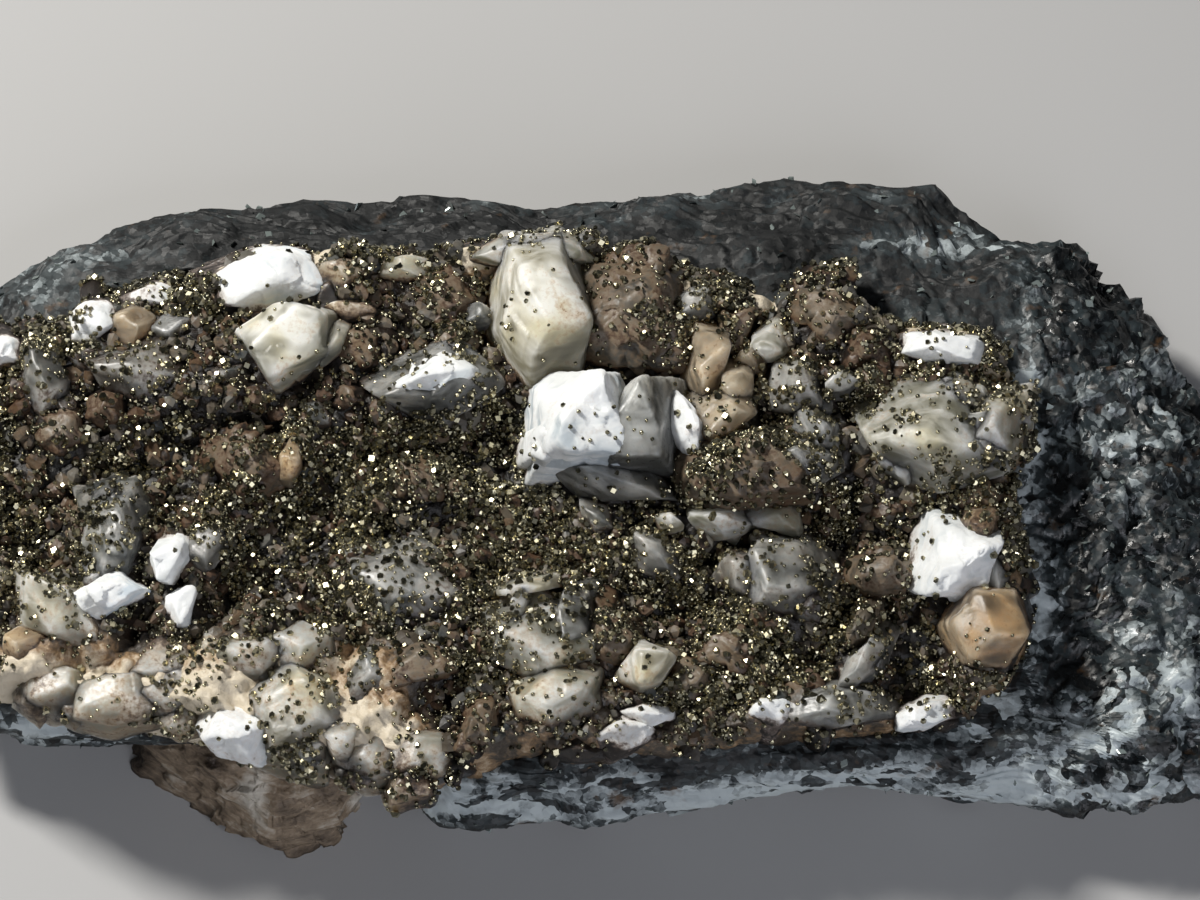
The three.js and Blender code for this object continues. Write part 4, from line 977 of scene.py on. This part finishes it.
def calcite_material(look):
    """Calcite: clear and milky by turns, so light spreads under its faces; rust and black where stained."""
    material, tree = new_material(look["name"])
    place = add(tree, "TexCoord")["Object"]
    tint = add(tree, "Attribute", attribute_name="tint")["Color"]
    planes = stretched(tree, place, (5, 3.5, 1.4), (0.5, -0.4, 0.3))
    veils = {"Vector": planes, "Scale": 1, "Detail": 2, "Roughness": 0.5, "Distortion": 0.5}
    veil = add(tree, "TexNoise", veils)["Fac"]
    fine = mottle(tree, place, 0.5, 4, 0.65)
    milky = add(tree, "Math", {0: veil, 1: painted(tree, "milk")}, operation="ADD")[0]
    cloud = ramp(tree, milky, *look["veil"])
    warmth = ramp(tree, mottle(tree, place, 6, 1), 0.48, 0.64)
    milk = blended(tree, cloud, tint, blended(tree, warmth, look["milk"], look["warm"]))
    reach = add(tree, "Math", {0: painted(tree, "stain"), 1: veil}, operation="ADD")[0]
    depth = add(tree, "Math", {0: reach, 1: fine}, operation="ADD")[0]
    ochre = blended(tree, ramp(tree, depth, 1.15, 1.5, look["ochre"]), milk, "#b08a60")
    rust = blended(tree, ramp(tree, depth, 1.42, 1.64, 0.85), ochre, "#4a3528")
    gloss = look["gloss"]
    shine = {"Value": fine, "From Min": 0.3, "From Max": 0.7, "To Min": gloss, "To Max": gloss + 0.2}
    bump = add(tree, "Bump", {"Height": fine, "Strength": 0.4, "Distance": 0.14 * MM})[0]
    facets = facet_normal(tree, wavy(tree, place, 1.5, 0.8), look["glint"], look["lean"], bump)
    return surfaced(material, tree, {
        "Base Color": blended(tree, ramp(tree, depth, 1.66, 1.86, 0.95), rust, "#16100d"),
        "Roughness": 0.3,
        "Specular IOR Level": 0.0,
        "IOR": 1.5,
        "Coat Weight": 0.8,
        "Coat Roughness": add(tree, "MapRange", shine)[0],
        "Coat IOR": 1.55,
        "Coat Normal": facets,
        "Subsurface Weight": look["scatter"],
        "Subsurface Radius": (1.0, 0.95, 0.85),
        "Subsurface Scale": 8 * MM,
        "Transmission Weight": between(tree, cloud, look["clarity"], 0.0),
        "Normal": evened(tree, facets, look["even"]),
    })


def pyrite_material():
    """Pyrite, natural growth faces: dark greenish brass, bright where a face catches the light."""
    material, tree = new_material("pyrite growth faces")
    base = blended(tree, painted(tree, "tone"), "#48473c", "#cac3a6")
    return surfaced(material, tree, {"Base Color": base, "Metallic": 1.0, "Roughness": 0.24})


def mica_material():
    """Mica flakes split along their sheets: silvery plates that glint."""
    material, tree = new_material("split mica")
    return surfaced(material, tree, {"Base Color": linear("#87918f"), "Metallic": 0.4, "Roughness": 0.25})


def floor_material():
    """A matt painted table: pale grey, with the faintest unevenness."""
    material, tree = new_material("matt painted table")
    place = add(tree, "TexCoord")["Object"]
    base = blended(tree, mottle(tree, place, 250, 2), "#b4b4b4", "#bcbcbc")
    return surfaced(material, tree, {"Base Color": base, "Roughness": 0.8})


# Making the pieces
TINT_SPREAD = 0.4  # how much lighter or darker one crystal is than another
HUE_SPREAD = 0.12  # and how much warmer or cooler
CONTACT_HEIGHT = 1.6  # crystals are stained this far up from the crust
CONTACT_STAIN = 0.7
OWN_STAIN = 0.8
SHORE_CLEAN = 0.85  # how much of the stain from the crust the shore's crystals are spared
DUST_BASE = 0.75  # pyrite on a crystal away from the crust
RIM_WIDTH = 6.0
BACK_START = 4.0  # the crust's rim is lighter behind here
BACK_WIDTH = 8.0
# How light the crust is at the crystals' feet, on its lumps, at its rim, at its back rim and in the shore.
FOOT_LIGHT, LUMP_LIGHT, RIM_LIGHT, BACK_LIGHT, SHORE_LIGHT = 0.03, 0.14, 0.6, 0.7, 0.8
CRUST_DUST = 0.9
BARE_DUST = 0.82  # how much less of it lies at the rim and in the shore
SMALL_DUST = 0.8
SMALL_SLACK = 0.5  # how deep below what stands over it a surface still lies open
PYRITE_SLACK = 0.35
SMALL_COUNT = 1300
SMALL_SIZES = (0.7, 2.0)
SMALL_SHAPES = (0.7, 1.3)  # how much longer or shorter they are along each axis
SMALL_STAINS = (0.1, 0.9)
SMALL_TINTS = ("#5d5c57", "#443d34", "#2f2a25", "#1e1a17", "#3f4342", "#55514a")
PYRITE_SIZES = (
    ("pyrite_coarse", 3600, 0.48, 0.74, False), ("pyrite_grains", 9800, 0.36, 0.5, False),
    ("pyrite_fine", 9800, 0.28, 0.38, True), ("pyrite_dust", 9800, 0.2, 0.3, True),
)
PYRITE_PATCH = 6.0  # size of the patches that pyrite grows in
PYRITE_THIN = 0.16  # and its density between them
PYRITE_SEAT = 0.25  # how far a grain stands out of the calcite, in sizes
PYRITE_STRAY = 0.08
FLAKE_COUNT = 900
FLAKE_SIZES = (0.25, 0.7)
FLAKE_THICKNESS = 0.12  # as a share of its size


def make_crystals():
    """The calcite crystals, one piece for each finish; returns every shell with its dusting at each point."""
    pieces = {finish: [] for finish in FINISHES}
    for number, row in enumerate(with_satellites(CRYSTALS)):
        finish, dust, stain = row[9:]
        points, triangles, milk = crystal(row, number)
        vary = hashed(np.array([[number, 5, 1], [number, 6, 1]])) - 0.5
        shade = np.array(linear(FINISHES[finish]["tint"])[:3])
        hue = 1 + HUE_SPREAD * vary[1] * np.array([1, 0, -1])
        shade = np.clip(shade * (1 + TINT_SPREAD * vary[0]) * hue, 0, 1)
        above = points[:, 2] - bed_height(points)
        contact = smooth(1 - above / CONTACT_HEIGHT) * (1 - SHORE_CLEAN * shore(points))
        pieces[finish].append({
            "shell": (points, triangles),
            "tint": np.tile(shade, (len(points), 1)),
            "stain": stain * OWN_STAIN + CONTACT_STAIN * contact,
            "milk": milk,
            "dust": dust * (DUST_BASE + contact),
        })
    dusted = []
    for finish, shells in pieces.items():
        points, triangles = join([shell["shell"] for shell in shells])
        extras = {key: np.concatenate([shell[key] for shell in shells]) for key in ("tint", "stain", "milk")}
        dust = np.concatenate([shell["dust"] for shell in shells])
        material = calcite_material(FINISHES[finish])
        add_piece(f"calcite_{finish}", points, triangles, material, "calcite", **extras)
        dusted.append((points, triangles, dust))
    return dusted


def make_small_crystals(bed, bed_faces, is_bare, light):
    """Small crystals strewn over the bare crust, less stained where it is light; returns their shells."""
    normal, area = spread(bed, bed_faces)
    weight = area * is_bare * (normal[:, 2] > 0.2)
    chosen = CHANCE.choice(len(bed), SMALL_COUNT, replace=False, p=weight / weight.sum())
    sizes = CHANCE.uniform(*SMALL_SIZES, (SMALL_COUNT, 1)) * CHANCE.uniform(*SMALL_SHAPES, (SMALL_COUNT, 3))
    shape = small_rhomb()
    points, triangles = scattered(shape, bed[chosen], sizes)
    tints = np.array([linear(code)[:3] for code in SMALL_TINTS])
    tint = tints[CHANCE.integers(len(tints), size=SMALL_COUNT)]
    stain = CHANCE.uniform(*SMALL_STAINS, SMALL_COUNT) - 0.5 * light[chosen]
    look = {**FINISHES["dusty"], "name": "small frosted calcite", "milk": "#6d675d"}
    tint, stain = (np.repeat(values, len(shape[0]), axis=0) for values in (tint, stain))
    material = calcite_material(look)
    add_piece("calcite_small", points, triangles, material, "calcite", False, tint=tint, stain=stain)
    return points, triangles, np.full(len(points), SMALL_DUST)


def make_pyrite(dusted):
    """Pyrite grains in patches on what lies open, thickest where the dusting is; returns the last piece."""
    points, triangles = join([surface[:2] for surface in dusted])
    normal, area = spread(points, triangles)
    dust = np.concatenate([surface[2] for surface in dusted])
    patch = smooth((layered(points, PYRITE_PATCH, 3, 8) + 0.12) / 0.4)
    weight = area * dust * (PYRITE_THIN + patch) * in_the_open(points, PYRITE_SLACK) * (normal[:, 2] > -0.1)
    for name, count, least, most, is_round in PYRITE_SIZES:
        chosen = CHANCE.choice(len(points), count, replace=False, p=weight / weight.sum())
        size = CHANCE.uniform(least, most, (count, 1)) * CHANCE.uniform(0.85, 1.15, (count, 3))
        places = points[chosen] + normal[chosen] * PYRITE_SEAT * least
        places = places + CHANCE.normal(0, PYRITE_STRAY, (count, 3))
        shape = cut_cube()
        beads, bead_faces = scattered(shape, places, size)
        tone = np.repeat(CHANCE.random(count), len(shape[0]))
        piece = add_piece(name, beads, bead_faces, pyrite_material(), "pyrite", is_round, tone=tone)
    return piece


def make_druse():
    """The crust, its crystals, the small ones between them and the pyrite grains over them all."""
    bed, bed_faces, inside, lump = druse_bed()
    foot = crystal_feet(bed)
    rim = smooth(1 - inside / RIM_WIDTH)
    front = shore(bed)
    back = smooth((bed[:, 1] - BACK_START) / BACK_WIDTH)
    light = FOOT_LIGHT * foot + LUMP_LIGHT * lump + (RIM_LIGHT + BACK_LIGHT * back) * rim
    light = light + SHORE_LIGHT * front
    crust = add_piece("calcite_crust", bed, bed_faces, crust_material(), "calcite", light=light)
    dusted = make_crystals()
    every = np.concatenate([bed] + [surface[0] for surface in dusted])
    is_bare = in_the_open(every, SMALL_SLACK)[: len(bed)] & (front < 0.5)
    dusted.append(make_small_crystals(bed, bed_faces, is_bare, light))
    dusted.append((bed, bed_faces, CRUST_DUST - BARE_DUST * np.maximum(rim, front)))
    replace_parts(crust, "calcite_druse")
    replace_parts(make_pyrite(dusted), "pyrite_crust")


def make_rock():
    """The slab, its weathered spur and the mica flakes that glint on the break."""
    points, triangles, granular = gneiss_slab()
    extras = {"granular": granular, "pale": paleness_with_painted_light(points)}
    slab = add_piece("gneiss_slab", points, triangles, gneiss_material(), "gneiss", **extras)
    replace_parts(slab, "gneiss_matrix")
    spur, spur_faces = weathered_spur()
    add_piece("weathered_spur", spur, spur_faces, spur_material(), "gneiss", pale=paleness_with_painted_light(spur))
    _, area = spread(points, triangles)
    weight = area * (points[:, 2] > BELLY_HEIGHTS[0])
    chosen = CHANCE.choice(len(points), FLAKE_COUNT, replace=False, p=weight / weight.sum())
    sizes = CHANCE.uniform(*FLAKE_SIZES, (FLAKE_COUNT, 1)) * np.array([1, 1, FLAKE_THICKNESS])
    flakes = scattered(skewed_cube(), points[chosen], sizes)
    add_piece("mica_flakes", *flakes, mica_material(), "gneiss", False)


def make_floor():
    """The table the specimen lies on: one square at the height of its resting face."""
    side = 1500
    points = np.array([(-side, -side, 0), (side, -side, 0), (side, side, 0), (-side, side, 0)], float) * MM
    mesh = bpy.data.meshes.new("table")
    mesh.from_pydata(points.tolist(), [], [(0, 1, 2, 3)])
    mesh.materials.append(floor_material())
    table = bpy.data.objects.new("table", mesh)
    bpy.context.scene.collection.objects.link(table)


def add_light(name, place, aim, size, watts, colour):
    """A square area light at a place, facing a point, both in millimetres."""
    lamp = bpy.data.lights.new(name, "AREA")
    lamp.size = size * MM
    lamp.energy = watts
    lamp.color = linear(colour)[:3]
    light = bpy.data.objects.new(name, lamp)
    light.location = np.array(place) * MM
    toward = Vector(np.array(aim, float) - np.array(place, float))
    light.rotation_euler = toward.to_track_quat("-Z", "Y").to_euler()
    bpy.context.scene.collection.objects.link(light)


def make_studio():
    """A key light over the far left, a broad weak fill at the front, and the camera at the photo's angle."""
    add_light("key", (-290, 220, 420), (0, 0, 15), 90, 3.4, "#fffcf6")
    add_light("fill", (200, -460, 380), (0, 0, 15), 400, 1.4, "#f4f6ff")
    world = bpy.data.worlds.new("studio")
    world.use_nodes = True
    world.node_tree.nodes["Background"].inputs["Color"].default_value = linear("#c8ccd0")
    world.node_tree.nodes["Background"].inputs["Strength"].default_value = 0.08
    bpy.context.scene.world = world
    bpy.context.scene.view_settings.view_transform = "Standard"
    lens = bpy.data.cameras.new("camera")
    lens.sensor_width = SENSOR_WIDTH
    lens.lens = VIEW_DISTANCE / PHOTO_WIDTH * SENSOR_WIDTH
    camera = bpy.data.objects.new("camera", lens)
    camera.location = VIEW_EYE * MM
    camera.rotation_euler = (math.pi / 2 - VIEW_ELEVATION, 0, 0)
    bpy.context.scene.collection.objects.link(camera)
    bpy.context.scene.camera = camera


make_studio()
make_floor()
make_rock()
make_druse()
